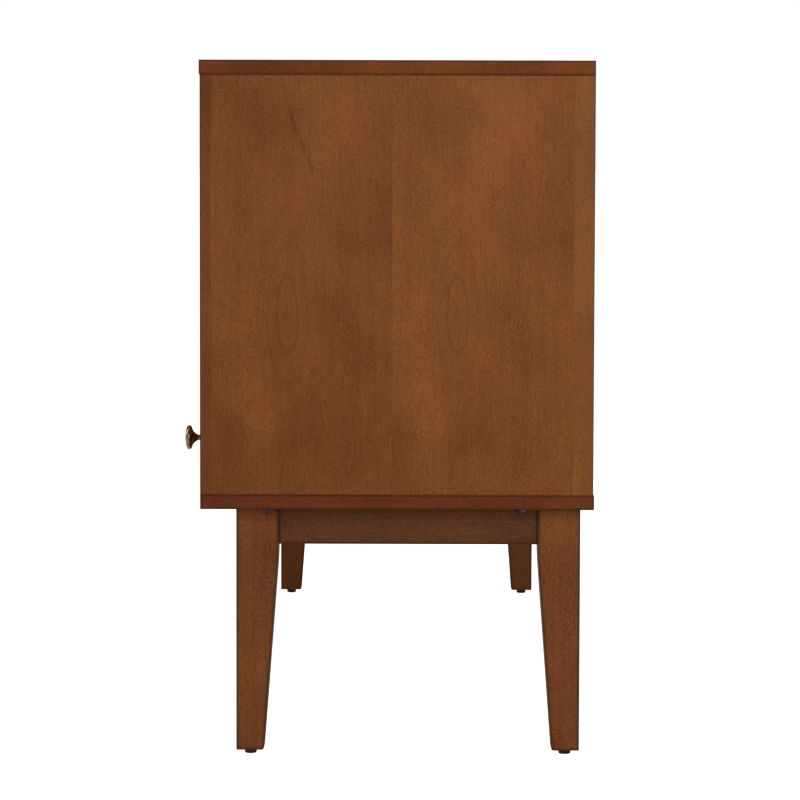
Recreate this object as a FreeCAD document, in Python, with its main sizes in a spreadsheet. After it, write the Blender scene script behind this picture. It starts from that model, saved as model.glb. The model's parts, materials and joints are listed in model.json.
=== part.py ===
import FreeCAD, Part
import math
import os
import re
import Sketcher

# Free-standing sideboard: a case with two sliding doors over two drawers, on a frame with four
# tapered legs. Millimetres, +Z up, front toward -Y, left and right along X. The origin is on the
# floor, below the middle of the whole object with its drawer knobs.

SIZES = {
    "case_width": (1524.0, "overall length of the case, left to right"),
    "case_depth": (432.0, "depth of the side panels with their edge strips"),
    "overall_height": (768.5, "floor to the top face"),
    "board": (16.0, "thickness of every main case board"),
    "top_overhang": (1.0, "top panel proud of the case front"),
    "rear_overhang": (1.0, "bottom panel proud of the case back"),
    "front_strip": (12.0, "width of the front edge strip of a side panel"),
    "rear_strip": (22.4, "width of the rear edge strip of a side panel"),
    "back_thickness": (5.0, "thickness of the back panel"),
    "back_recess": (3.0, "back panel set in from the case back"),
    "back_rebate": (8.0, "width of the rebate for the back panel"),
    "back_play": (0.5, "gap at each end of the back panel"),
    "drawer_opening": (97.4, "clear height of the drawer row"),
    "glide_height": (5.5, "thickness of a foot glide"),
    "glide_radius": (7.0, "radius of a foot glide"),
    "glide_nail_radius": (1.5, "radius of the nail of a foot glide"),
    "glide_nail_length": (14.0, "length of the nail of a foot glide"),
    "leg_length": (271.0, "length of a leg"),
    "leg_width": (46.8, "width of a leg at its top, both ways"),
    "leg_foot": (31.0, "width of a leg at its foot, both ways"),
    "taper_start": (217.0, "height above the foot where the taper begins"),
    "knee_reach": (12.0, "blend above and below the point where the taper begins"),
    "foot_rounding": (3.0, "radius of the inner edge of the foot"),
    "leg_side_inset": (25.0, "leg set in from the case side"),
    "leg_front_inset": (38.5, "front leg set back from the case front"),
    "leg_rear_inset": (12.7, "rear leg set in from the case back"),
    "apron_height": (41.4, "height of an apron"),
    "apron_thickness": (20.0, "thickness of an apron"),
    "apron_inset": (5.5, "apron set back from the outer face of a leg"),
    "stretcher_width": (30.0, "thickness of the middle rail under the case"),
    "block_reach": (105.0, "corner block, from the outer corner of the leg"),
    "block_height": (20.0, "height of a corner block"),
    "frame_screw_place": (58.0, "frame screw, from the outer corner of the leg"),
    "frame_screw_radius": (2.0, "shank radius of a frame screw"),
    "frame_screw_length": (32.0, "shank length of a frame screw"),
    "frame_head_radius": (4.0, "head radius of a frame screw"),
    "frame_head_height": (2.5, "head height of a frame screw"),
    "dowel_radius": (4.0, "radius of a wooden dowel"),
    "dowel_length": (30.0, "length of a wooden dowel"),
    "dowel_shallow": (11.0, "dowel depth where it enters the face of a board"),
    "dowel_pitch": (9.5, "frame dowels above and below the middle of an apron"),
    "hole_play": (0.05, "radial clearance of a shank in its hole"),
    "end_play": (0.5, "clearance past the end of a shank"),
    "case_dowel_reach": (60.0, "dowels from the middle of the case, at the bottom joint"),
    "panel_dowel_reach": (140.0, "dowels from the middle of the case, at the other joints"),
    "low_divider_reach": (120.0, "dowels of the lower divider, from the middle"),
    "high_divider_reach": (80.0, "dowels of the upper divider, from the middle"),
    "bolt_place": (138.3, "joint bolts from the middle of the case depth"),
    "bolt_radius": (3.0, "shank radius of a joint bolt"),
    "bolt_length": (50.0, "shank length of a joint bolt"),
    "bolt_head_radius": (7.25, "head radius of a joint bolt"),
    "bolt_head_height": (4.0, "head height of a joint bolt"),
    "bolt_socket_radius": (2.3, "radius of the key socket in a joint bolt"),
    "barrel_radius": (5.0, "radius of a barrel nut"),
    "barrel_length": (12.0, "length of a barrel nut"),
    "barrel_height": (26.0, "barrel nut above the bottom panel"),
    "screw_radius": (1.5, "shank radius of a pan-head screw"),
    "screw_length": (14.0, "shank length of a pan-head screw"),
    "screw_head_radius": (3.5, "head radius of a pan-head screw"),
    "screw_head_height": (1.8, "head height of a pan-head screw"),
    "divider_setback": (52.0, "upper divider set back from the case front"),
    "shelf_setback": (50.0, "shelf set back from the case front"),
    "shelf_rise": (165.0, "underside of a shelf above the door deck"),
    "shelf_play": (1.0, "gap beside a shelf and behind it"),
    "pin_radius": (2.5, "radius of a shelf pin"),
    "pin_depth": (7.5, "shelf pin in the board"),
    "pin_head": (9.0, "shelf pin head, out from the board"),
    "pin_head_width": (8.0, "width of a shelf pin head"),
    "pin_head_height": (6.0, "height of a shelf pin head"),
    "pin_row_inset": (37.0, "rows of pin holes in from the shelf edges"),
    "pin_spacing": (32.0, "spacing of the pin holes"),
    "track_setback": (2.0, "door tracks set back from the case front"),
    "track_depth": (40.0, "depth of a door track"),
    "track_plate": (2.0, "thickness of a door track plate"),
    "rib_width": (2.0, "width of a track rib"),
    "rib_height": (4.0, "height of a lower track rib above its plate"),
    "fin_height": (8.0, "height of an upper track fin below its plate"),
    "track_screw_near": (190.0, "inner track screws from the middle"),
    "track_screw_far": (560.0, "outer track screws from the middle"),
    "door_thickness": (16.0, "thickness of a door"),
    "door_setback": (4.0, "front door set back from the case front"),
    "door_gap": (4.0, "gap between the two doors"),
    "door_overlap": (28.0, "overlap of the closed doors"),
    "door_end_play": (0.5, "gap between a closed door and its bumper"),
    "door_lift": (7.0, "door bottom above the door deck"),
    "door_drop": (12.0, "door top below the top panel"),
    "stile_width": (56.0, "width of the pull stile of a door"),
    "pull_height": (90.0, "height of a recessed pull"),
    "pull_width": (26.0, "width of a recessed pull"),
    "pull_depth": (10.0, "depth of a recessed pull"),
    "pull_wall": (1.0, "wall of a recessed pull"),
    "pull_flange": (3.0, "width of the flange round a recessed pull"),
    "pull_lip": (0.8, "thickness of the flange of a recessed pull"),
    "pull_play": (0.1, "clearance round a recessed pull in its slot"),
    "runner_length": (30.0, "length of a door glide or guide"),
    "runner_width": (10.0, "width of a door glide or guide"),
    "runner_depth": (12.0, "door glide or guide inside the door edge"),
    "runner_inset": (60.0, "door glide or guide in from the door end"),
    "glide_drop": (3.0, "door glide below the door"),
    "glide_groove": (2.6, "groove width of a door glide"),
    "glide_groove_height": (2.2, "groove height of a door glide"),
    "guide_rise": (7.0, "door guide above the door"),
    "bumper": (2.0, "thickness of a door bumper"),
    "bumper_width": (10.0, "width of a door bumper"),
    "bumper_height": (24.0, "height of a door bumper"),
    "bumper_rise": (150.0, "bumper above the door deck"),
    "front_gap": (2.0, "gap round a drawer front"),
    "front_thickness": (16.0, "thickness of a drawer front"),
    "box_wall": (12.0, "thickness of a drawer box board"),
    "box_height": (66.0, "height of a drawer box"),
    "box_lift": (12.0, "drawer box above the bottom panel"),
    "box_length": (380.0, "length of a drawer box side"),
    "box_bottom": (5.0, "thickness of a drawer bottom"),
    "groove_depth": (5.0, "depth of the groove for a drawer bottom"),
    "groove_play": (0.1, "clearance of a drawer bottom in its groove"),
    "groove_rise": (8.0, "groove above the lower edge of the drawer box"),
    "front_screw_radius": (2.0, "shank radius of a drawer front screw"),
    "front_screw_length": (24.0, "shank length of a drawer front screw"),
    "front_screw_far": (290.0, "drawer front screws from the middle of the drawer"),
    "front_screw_rise": (33.0, "drawer front screws above the edge of the box"),
    "slide_length": (350.0, "length of a drawer slide"),
    "slide_setback": (22.0, "drawer slide set back from the case front"),
    "slide_room": (12.7, "room for a drawer slide at each side"),
    "slide_height": (35.0, "height of the outer slide member"),
    "slide_sheet": (1.2, "sheet thickness of a slide member"),
    "slide_step": (2.5, "each nested slide member smaller at top and bottom"),
    "outer_flange": (9.0, "flange of the outer slide member"),
    "middle_start": (4.0, "middle slide member out from the case board"),
    "middle_flange": (7.0, "flange of the middle slide member"),
    "inner_flange": (6.5, "flange of the inner slide member"),
    "slide_screw_near": (40.0, "first slide screw from the front of the slide"),
    "slide_screw_pitch": (130.0, "spacing of the slide screws"),
    "slide_screw_shift": (24.0, "slide screws of the right drawer set further back"),
    "knob_projection": (27.2, "drawer knob out from the drawer front"),
    "knob_radius": (14.0, "radius of a drawer knob"),
    "knob_dome": (1.7, "height of the domed face of a knob"),
    "knob_rim": (6.2, "thickness of the rim of a knob"),
    "knob_rim_radius": (3.3, "rounding of the rim of a knob"),
    "knob_rim_reach": (2.17, "rounded rim beyond the domed face"),
    "knob_flare_radius": (11.2, "hollow behind the knob face"),
    "knob_neck_radius": (3.15, "neck radius of a knob"),
    "knob_neck_front": (11.8, "front end of the neck, from the drawer front"),
    "knob_neck_back": (8.0, "rear end of the neck, from the drawer front"),
    "knob_foot_radius": (8.5, "radius of the foot of a knob"),
    "knob_foot_height": (2.0, "thickness of the foot of a knob"),
    "knob_foot_hollow": (6.4, "hollow above the foot of a knob"),
    "knob_stud_radius": (2.0, "radius of the threaded stud of a knob"),
    "knob_stud_length": (12.0, "length of the threaded stud of a knob"),
    "knob_place": (205.0, "knobs from the middle of the drawer"),
}

doc = FreeCAD.newDocument("sideboard")
sheet = doc.addObject("Spreadsheet::Sheet", "sizes")
for row, (alias, (number, meaning)) in enumerate(SIZES.items(), start=1):
    sheet.set("A%d" % row, meaning)
    sheet.set("B%d" % row, str(number))
    sheet.setAlias("B%d" % row, alias)
doc.recompute()

# Planes that most parts share, written with the names in the size table.
MIDDLE_Y = "(knob_projection - rear_overhang) / 2"
FRONT = MIDDLE_Y + " - case_depth / 2"
BACK = MIDDLE_Y + " + case_depth / 2"
INNER_BACK = BACK + " - back_recess - back_thickness"
BASE_TOP = "glide_height + leg_length"
FLOOR = BASE_TOP + " + board"
DECK = FLOOR + " + drawer_opening"
DOOR_FLOOR = DECK + " + board"
CEILING = "overall_height - board"
SIDE = "case_width / 2"
INSIDE = SIDE + " - board"
BAY = "(case_width - 3 * board) / 2"

# Screws of the back panel, as parts of the height of the case.
EDGE_SCREWS = (0.08, 0.36, 0.64, 0.92)
MIDDLE_SCREWS = (0.5, 0.8)

TURNS = {
    "+Z": FreeCAD.Rotation(),
    "-Z": FreeCAD.Rotation(FreeCAD.Vector(1, 0, 0), 180),
    "+X": FreeCAD.Rotation(FreeCAD.Vector(0, 1, 0), 90),
    "-X": FreeCAD.Rotation(FreeCAD.Vector(0, 1, 0), -90),
    "+Y": FreeCAD.Rotation(FreeCAD.Vector(1, 0, 0), -90),
    "-Y": FreeCAD.Rotation(FreeCAD.Vector(1, 0, 0), 90),
}

pieces = {}
corners = {}
leg_holes = {}


def linked(text):
    """Point every size name in an expression at the size table."""
    return re.sub(r"[a-z][a-z_]*", lambda name: "sizes." + name.group(0), text)


def number(text):
    """The present value of an expression."""
    return float(sheet.evalExpression(linked(text)))


def minus(first, second):
    return "(%s) - (%s)" % (first, second)


def plus(first, second):
    return "(%s) + (%s)" % (first, second)


def times(sign, text):
    return "%d * (%s)" % (sign, text)


def place(thing, x, y, z):
    """Tie the position of an object to the size table."""
    for axis, text in zip("xyz", (x, y, z)):
        thing.setExpression("Placement.Base." + axis, linked(text))


def new_body(name, x="0", y="0", z="0"):
    body = doc.addObject("PartDesign::Body", name)
    body.Label = name
    place(body, x, y, z)
    corners[name] = (x, y, z)
    return body


def block(body, kind, x, y, z, length, depth, height):
    """Add or cut a box in a body; the position is in the frame of the whole object."""
    feature = body.newObject("PartDesign::%sBox" % kind, body.Name + "_box")
    feature.setExpression("Length", linked(length))
    feature.setExpression("Width", linked(depth))
    feature.setExpression("Height", linked(height))
    corner = corners[body.Name]
    place(feature, minus(x, corner[0]), minus(y, corner[1]), minus(z, corner[2]))
    return feature


def rod(body, kind, x, y, z, direction, radius, length):
    """Add or cut a round rod that starts at a point and runs in a direction."""
    feature = body.newObject("PartDesign::%sCylinder" % kind, body.Name + "_rod")
    feature.Placement = FreeCAD.Placement(FreeCAD.Vector(), TURNS[direction])
    feature.setExpression("Radius", linked(radius))
    feature.setExpression("Height", linked(length))
    corner = corners[body.Name]
    place(feature, minus(x, corner[0]), minus(y, corner[1]), minus(z, corner[2]))
    return feature


def board(name, x, y, z, length, depth, height):
    """A plain board as a piece of its own."""
    body = new_body(name, x, y, z)
    block(body, "Additive", x, y, z, length, depth, height)
    pieces[name] = body
    return body


def hole(name, x, y, z, direction, radius, length):
    """Bore a round hole in a named piece."""
    if name in leg_holes:
        drill = doc.addObject("Part::Cylinder", name + "_drill")
        drill.Placement = FreeCAD.Placement(FreeCAD.Vector(), TURNS[direction])
        drill.setExpression("Radius", linked(radius))
        drill.setExpression("Height", linked(length))
        place(drill, x, y, z)
        leg_holes[name].append(drill)
    else:
        rod(pieces[name], "Subtractive", x, y, z, direction, radius, length)


def copies(label, master, places):
    """One named piece made of identical solids; each place is x, y, z and a turn."""
    links = []
    for x, y, z, turn in places:
        link = doc.addObject("App::Link", label + "_copy")
        link.LinkedObject = master
        link.Placement = FreeCAD.Placement(FreeCAD.Vector(), turn)
        place(link, x, y, z)
        links.append(link)
    group = doc.addObject("Part::Compound", label)
    group.Links = links
    group.Label = label
    pieces[label] = group
    return group


def gather(label, bodies):
    """One named piece made of several bodies."""
    group = doc.addObject("Part::Compound", label)
    group.Links = bodies
    group.Label = label
    pieces[label] = group
    return group


def shift(point, axis, text):
    """Move a point, given as three expressions, along one axis."""
    moved = list(point)
    moved["XYZ".index(axis)] = plus(point["XYZ".index(axis)], text)
    return moved


def outline(body, role, corner_points, arcs=None):
    """A closed sketch on a plane of the body. Corners are pairs of expressions; arcs gives a
    radius and the side of the centre (1 left, -1 right) for the edge after a corner."""
    arcs = arcs or {}
    sketch = body.newObject("Sketcher::SketchObject", body.Name + "_outline")
    plane = [item for item in body.Origin.OriginFeatures if item.Role == role][0]
    sketch.AttachmentSupport = (plane, "")
    sketch.MapMode = "FlatFace"
    points = [FreeCAD.Vector(number(u), number(v), 0) for u, v in corner_points]
    ends = []
    for index, start in enumerate(points):
        finish = points[(index + 1) % len(points)]
        if index in arcs:
            radius_text, side = arcs[index]
            radius = number(radius_text)
            chord = finish - start
            across = FreeCAD.Vector(-chord.y, chord.x, 0).normalize() * side
            rise = math.sqrt(radius ** 2 - (chord.Length / 2) ** 2)
            centre = (start + finish) / 2 + across * rise
            first, last = (start, finish) if side > 0 else (finish, start)
            from_angle = math.atan2(first.y - centre.y, first.x - centre.x)
            to_angle = math.atan2(last.y - centre.y, last.x - centre.x)
            circle = Part.Circle(centre, FreeCAD.Vector(0, 0, 1), radius)
            sketch.addGeometry(Part.ArcOfCircle(circle, from_angle, to_angle))
            ends.append((1, 2) if side > 0 else (2, 1))
            bound = sketch.addConstraint(Sketcher.Constraint("Radius", index, radius))
            sketch.renameConstraint(bound, "radius_%d" % index)
            sketch.setExpression("Constraints.radius_%d" % index, linked(radius_text))
        else:
            sketch.addGeometry(Part.LineSegment(start, finish))
            ends.append((1, 2))
    for index in range(len(points)):
        after = (index + 1) % len(points)
        sketch.addConstraint(
            Sketcher.Constraint("Coincident", index, ends[index][1], after, ends[after][0]))
    for index, texts in enumerate(corner_points):
        for kind, text, value in zip(("DistanceX", "DistanceY"), texts, tuple(points[index])):
            constraint = Sketcher.Constraint(kind, -1, 1, index, ends[index][0], value)
            bound = sketch.addConstraint(constraint)
            name = "%s_%d" % (kind, index)
            sketch.renameConstraint(bound, name)
            sketch.setExpression("Constraints." + name, linked(text))
    return sketch


def pad(body, sketch, length, reverse=False):
    feature = body.newObject("PartDesign::Pad", body.Name + "_pad")
    feature.Profile = sketch
    feature.Reversed = reverse
    feature.setExpression("Length", linked(length))
    doc.recompute()
    return feature


# ---------------------------------------------------------------------------------------------
# Legs: two faces taper toward the foot, so a leg is the common part of two tapered slabs.

LEG_SLOPE = "(leg_width - leg_foot) / taper_start"
LEG_OUTLINE = [
    ("0", "0"),
    ("leg_foot - foot_rounding", "0"),
    ("leg_foot", "foot_rounding"),
    ("leg_width - knee_reach * " + LEG_SLOPE, "taper_start - knee_reach"),
    ("leg_width", "taper_start + knee_reach"),
    ("leg_width", "leg_length"),
    ("0", "leg_length"),
]
LEG_ARCS = {
    1: ("foot_rounding", 1),
    3: ("2 * knee_reach / (" + LEG_SLOPE + ")", 1),
}

LEGS = {
    "leg_front_left": (-1, -1, 0),
    "leg_front_right": (1, -1, 90),
    "leg_rear_right": (1, 1, 180),
    "leg_rear_left": (-1, 1, 270),
}


def leg_corner(side_x, side_y):
    """The outer corner of a leg, in plan."""
    x = times(side_x, SIDE + " - leg_side_inset")
    y = FRONT + " + leg_front_inset" if side_y < 0 else BACK + " - leg_rear_inset"
    return x, y


def tapered_slab(name, role, reverse):
    """A slab as wide as a leg with the tapered outline, knee and rounded foot."""
    slab = new_body(name)
    pad(slab, outline(slab, role, LEG_OUTLINE, LEG_ARCS), "leg_width", reverse)
    return slab


def make_leg(name, side_x, side_y, angle):
    """Cross two tapered slabs and turn the leg so its tapered faces look inward."""
    along = tapered_slab(name + "_slab_along", "XZ_Plane", True)
    across = tapered_slab(name + "_slab_across", "YZ_Plane", False)
    blank = doc.addObject("Part::MultiCommon", name + "_blank")
    blank.Shapes = [along, across]
    blank.Placement = FreeCAD.Placement(
        FreeCAD.Vector(), FreeCAD.Rotation(FreeCAD.Vector(0, 0, 1), angle))
    x, y = leg_corner(side_x, side_y)
    place(blank, x, y, "glide_height")
    leg_holes[name] = []
    return blank


leg_blanks = {name: make_leg(name, *where) for name, where in LEGS.items()}

# ---------------------------------------------------------------------------------------------
# Base frame: aprons, middle rail and corner blocks.

LEG_SPAN_X = minus(SIDE, "leg_side_inset + leg_width")
FRONT_LEG_Y = leg_corner(1, -1)[1]
REAR_LEG_Y = leg_corner(1, 1)[1]
APRON_Z = BASE_TOP + " - apron_height"

board("apron_front", times(-1, LEG_SPAN_X), FRONT_LEG_Y + " + apron_inset", APRON_Z,
      times(2, LEG_SPAN_X), "apron_thickness", "apron_height")
board("apron_rear", times(-1, LEG_SPAN_X), REAR_LEG_Y + " - apron_inset - apron_thickness", APRON_Z,
      times(2, LEG_SPAN_X), "apron_thickness", "apron_height")
SIDE_APRON_LENGTH = "case_depth - leg_front_inset - leg_rear_inset - 2 * leg_width"
APRON_OUTSIDE = SIDE + " - leg_side_inset - apron_inset"
board("apron_left", times(-1, APRON_OUTSIDE), FRONT_LEG_Y + " + leg_width", APRON_Z,
      "apron_thickness", SIDE_APRON_LENGTH, "apron_height")
board("apron_right", APRON_OUTSIDE + " - apron_thickness", FRONT_LEG_Y + " + leg_width", APRON_Z,
      "apron_thickness", SIDE_APRON_LENGTH, "apron_height")
RAIL_START = FRONT_LEG_Y + " + apron_inset + apron_thickness"
RAIL_END = REAR_LEG_Y + " - apron_inset - apron_thickness"
board("centre_stretcher", "-stretcher_width / 2", RAIL_START, APRON_Z,
      "stretcher_width", minus(RAIL_END, RAIL_START), "apron_height")

corner_block = new_body("corner_block_shape")
BLOCK_NEAR = "apron_inset + apron_thickness"
block_sketch = outline(corner_block, "XY_Plane", [
    ("leg_width", BLOCK_NEAR),
    ("block_reach", BLOCK_NEAR),
    (BLOCK_NEAR, "block_reach"),
    (BLOCK_NEAR, "leg_width"),
    ("leg_width", "leg_width"),
])
pad(corner_block, block_sketch, "block_height")
rod(corner_block, "Subtractive", "frame_screw_place", "frame_screw_place", "0", "+Z",
    "frame_screw_radius + hole_play", "block_height")
upright = FreeCAD.Vector(0, 0, 1)
block_places = []
for side_x, side_y, angle in LEGS.values():
    x, y = leg_corner(side_x, side_y)
    block_places.append((x, y, BASE_TOP + " - block_height", FreeCAD.Rotation(upright, angle)))
copies("corner_blocks", corner_block, block_places)

glide = new_body("foot_glide_shape")
rod(glide, "Additive", "0", "0", "0", "+Z", "glide_radius", "glide_height")
rod(glide, "Additive", "0", "0", "glide_height", "+Z", "glide_nail_radius", "glide_nail_length")
glide_places = []
for name, (side_x, side_y, angle) in LEGS.items():
    x, y = leg_corner(side_x, side_y)
    x = plus(x, times(-side_x, "leg_foot / 2"))
    y = plus(y, times(-side_y, "leg_foot / 2"))
    glide_places.append((x, y, "0", FreeCAD.Rotation()))
    hole(name, x, y, "glide_height", "+Z", "glide_nail_radius + hole_play",
         "glide_nail_length + end_play")
copies("foot_glides", glide, glide_places)

# ---------------------------------------------------------------------------------------------
# Case boards.

CASE_HEIGHT = minus(CEILING, FLOOR)
board("top_panel", "-case_width / 2", FRONT + " - top_overhang", CEILING,
      "case_width", "case_depth + top_overhang", "board")
board("bottom_panel", "-case_width / 2", FRONT, BASE_TOP,
      "case_width", "case_depth + rear_overhang", "board")

front_strips = []
rear_strips = []
for word, sign in (("left", -1), ("right", 1)):
    x = "-case_width / 2" if sign < 0 else INSIDE
    board("side_panel_" + word, x, FRONT + " + front_strip", FLOOR,
          "board", "case_depth - front_strip - rear_strip", CASE_HEIGHT)
    strip = new_body("front_strip_" + word, x, FRONT, FLOOR)
    block(strip, "Additive", x, FRONT, FLOOR, "board", "front_strip", CASE_HEIGHT)
    front_strips.append(strip)
    strip = new_body("rear_strip_" + word, x, BACK + " - rear_strip", FLOOR)
    block(strip, "Additive", x, BACK + " - rear_strip", FLOOR, "board", "rear_strip", CASE_HEIGHT)
    rebate_x = times(-1, INSIDE + " + back_rebate") if sign < 0 else INSIDE
    block(strip, "Subtractive", rebate_x, INNER_BACK, FLOOR,
          "back_rebate", "back_thickness + back_recess", CASE_HEIGHT)
    rear_strips.append(strip)
gather("front_edge_strips", front_strips)
gather("rear_edge_strips", rear_strips)

INNER_DEPTH = minus(INNER_BACK, FRONT)
board("door_deck", times(-1, INSIDE), FRONT, DECK, times(2, INSIDE), INNER_DEPTH, "board")
board("drawer_divider", "-board / 2", FRONT, FLOOR, "board", INNER_DEPTH, "drawer_opening")
board("upper_divider", "-board / 2", FRONT + " + divider_setback", DOOR_FLOOR,
      "board", INNER_DEPTH + " - divider_setback", minus(CEILING, DOOR_FLOOR))
BACK_HALF = INSIDE + " + back_rebate - back_play"
board("back_panel", times(-1, BACK_HALF), INNER_BACK, FLOOR,
      times(2, BACK_HALF), "back_thickness", CASE_HEIGHT)

SHELF_Z = plus(DOOR_FLOOR, "shelf_rise")
SHELF_DEPTH = INNER_DEPTH + " - shelf_setback - shelf_play"
board("shelf_left", times(-1, INSIDE + " - shelf_play"), FRONT + " + shelf_setback", SHELF_Z,
      BAY + " - 2 * shelf_play", SHELF_DEPTH, "board")
board("shelf_right", "board / 2 + shelf_play", FRONT + " + shelf_setback", SHELF_Z,
      BAY + " - 2 * shelf_play", SHELF_DEPTH, "board")

# ---------------------------------------------------------------------------------------------
# Shelf pins, each in one of a short row of holes.

pin = new_body("shelf_pin_shape")
block(pin, "Additive", "0", "-pin_head_width / 2", "-pin_head_height",
      "pin_head", "pin_head_width", "pin_head_height")
rod(pin, "Additive", "0", "0", "-pin_head_height / 2", "-X", "pin_radius", "pin_depth")
pin_places = []
PIN_ROWS = (FRONT + " + shelf_setback + pin_row_inset", INNER_BACK + " - pin_row_inset")
PIN_WALLS = (
    ("side_panel_left", times(-1, INSIDE), "-X"),
    ("upper_divider", "-board / 2", "+X"),
    ("upper_divider", "board / 2", "-X"),
    ("side_panel_right", INSIDE, "+X"),
)
for wall, x, into in PIN_WALLS:
    for y in PIN_ROWS:
        turn = FreeCAD.Rotation(upright, 0 if into == "-X" else 180)
        pin_places.append((x, y, SHELF_Z, turn))
        for step in (-1, 0, 1):
            z = plus(SHELF_Z, "%d * pin_spacing - pin_head_height / 2" % step)
            hole(wall, x, y, z, into, "pin_radius + hole_play", "pin_depth + end_play")
copies("shelf_pins", pin, pin_places)

# ---------------------------------------------------------------------------------------------
# Wooden dowels across the glued joints.

dowel = new_body("dowel_shape")
rod(dowel, "Additive", "0", "0", "0", "+Z", "dowel_radius", "dowel_length")
dowel_places = []


def join(point, axis, low_piece, high_piece, low_depth):
    """Dowel a joint. The point is on the joint plane; low_depth is the dowel below it."""
    start = shift(point, axis, times(-1, low_depth))
    dowel_places.append((*start, TURNS["+" + axis]))
    radius = "dowel_radius + hole_play"
    hole(low_piece, *point, "-" + axis, radius, plus(low_depth, "end_play"))
    high_depth = minus("dowel_length + end_play", low_depth)
    hole(high_piece, *point, "+" + axis, radius, high_depth)


SHALLOW = "dowel_shallow"
DEEP = "dowel_length - dowel_shallow"
HALF = "dowel_length / 2"

for word, sign in (("left", -1), ("right", 1)):
    side = "side_panel_" + word
    x = times(sign, SIDE + " - board / 2")
    for step in (-1, 0, 1):
        y = plus(MIDDLE_Y, "%d * panel_dowel_reach" % step)
        join((x, y, CEILING), "Z", side, "top_panel", DEEP)
        low, high = (side, "door_deck") if sign < 0 else ("door_deck", side)
        low_depth = SHALLOW if sign < 0 else DEEP
        join((times(sign, INSIDE), y, DECK + " + board / 2"), "X", low, high, low_depth)
    for step in (-1, 1):
        y = plus(MIDDLE_Y, "%d * case_dowel_reach" % step)
        join((x, y, FLOOR), "Z", "bottom_panel", side, SHALLOW)

for step in (-1, 1):
    y = plus(MIDDLE_Y, "%d * low_divider_reach" % step)
    join(("0", y, FLOOR), "Z", "bottom_panel", "drawer_divider", SHALLOW)
    join(("0", y, DECK), "Z", "drawer_divider", "door_deck", DEEP)
    y = plus(MIDDLE_Y, "%d * high_divider_reach" % step)
    join(("0", y, DOOR_FLOOR), "Z", "door_deck", "upper_divider", SHALLOW)
    join(("0", y, CEILING), "Z", "upper_divider", "top_panel", DEEP)

for step in (-1, 1):
    z = plus(APRON_Z, "apron_height / 2 + %d * dowel_pitch" % step)
    for row, leg_y in (("front", FRONT_LEG_Y), ("rear", REAR_LEG_Y)):
        inward = 1 if row == "front" else -1
        y = plus(leg_y, times(inward, "apron_inset + apron_thickness / 2"))
        apron = "apron_" + row
        join((times(-1, LEG_SPAN_X), y, z), "X", "leg_%s_left" % row, apron, HALF)
        join((LEG_SPAN_X, y, z), "X", apron, "leg_%s_right" % row, HALF)
    for word, sign in (("left", -1), ("right", 1)):
        x = times(sign, APRON_OUTSIDE + " - apron_thickness / 2")
        apron = "apron_" + word
        join((x, FRONT_LEG_Y + " + leg_width", z), "Y", "leg_front_" + word, apron, HALF)
        join((x, REAR_LEG_Y + " - leg_width", z), "Y", apron, "leg_rear_" + word, HALF)
    join(("0", RAIL_START, z), "Y", "apron_front", "centre_stretcher", SHALLOW)
    join(("0", RAIL_END, z), "Y", "centre_stretcher", "apron_rear", DEEP)
copies("wood_dowels", dowel, dowel_places)

# ---------------------------------------------------------------------------------------------
# Screws that hold the case on its frame, and joint bolts with barrel nuts.

frame_screw = new_body("frame_screw_shape")
rod(frame_screw, "Additive", "0", "0", "0", "-Z", "frame_head_radius", "frame_head_height")
rod(frame_screw, "Additive", "0", "0", "0", "+Z", "frame_screw_radius", "frame_screw_length")
screw_places = []
for side_x, side_y, angle in LEGS.values():
    x, y = leg_corner(side_x, side_y)
    x = plus(x, times(-side_x, "frame_screw_place"))
    y = plus(y, times(-side_y, "frame_screw_place"))
    screw_places.append((x, y, BASE_TOP + " - block_height", FreeCAD.Rotation()))
    hole("bottom_panel", x, y, BASE_TOP, "+Z", "frame_screw_radius + hole_play",
         "frame_screw_length - block_height + end_play")
copies("frame_screws", frame_screw, screw_places)

bolt = new_body("bolt_shape")
rod(bolt, "Additive", "0", "0", "0", "-Z", "bolt_head_radius", "bolt_head_height")
rod(bolt, "Additive", "0", "0", "0", "+Z", "bolt_radius", "bolt_length")
rod(bolt, "Subtractive", "0", "0", "-bolt_head_height", "+Z",
    "bolt_socket_radius", "bolt_head_height")
barrel = new_body("barrel_shape")
rod(barrel, "Additive", "0", "0", "0", "+X", "barrel_radius", "barrel_length")
rod(barrel, "Subtractive", "board / 2", "0", "-barrel_radius", "+Z",
    "bolt_radius + hole_play", "2 * barrel_radius")
bolt_places = []
barrel_places = []
for word, sign in (("left", -1), ("right", 1)):
    side = "side_panel_" + word
    x = times(sign, SIDE + " - board / 2")
    outward = "+X" if sign > 0 else "-X"
    for step in (-1, 1):
        y = plus(MIDDLE_Y, "%d * bolt_place" % step)
        z = FLOOR + " + barrel_height"
        bolt_places.append((x, y, BASE_TOP, FreeCAD.Rotation()))
        hole("bottom_panel", x, y, BASE_TOP, "+Z", "bolt_radius + hole_play", "board")
        hole(side, x, y, FLOOR, "+Z", "bolt_radius + hole_play",
             "bolt_length - board + end_play")
        hole(side, times(sign, INSIDE), y, z, outward, "barrel_radius + hole_play",
             "barrel_length + end_play")
        turn = FreeCAD.Rotation(upright, 0 if sign > 0 else 180)
        barrel_places.append((times(sign, INSIDE), y, z, turn))
copies("joint_bolts", bolt, bolt_places)
copies("barrel_nuts", barrel, barrel_places)

# ---------------------------------------------------------------------------------------------
# Door tracks and bumpers.

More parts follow.
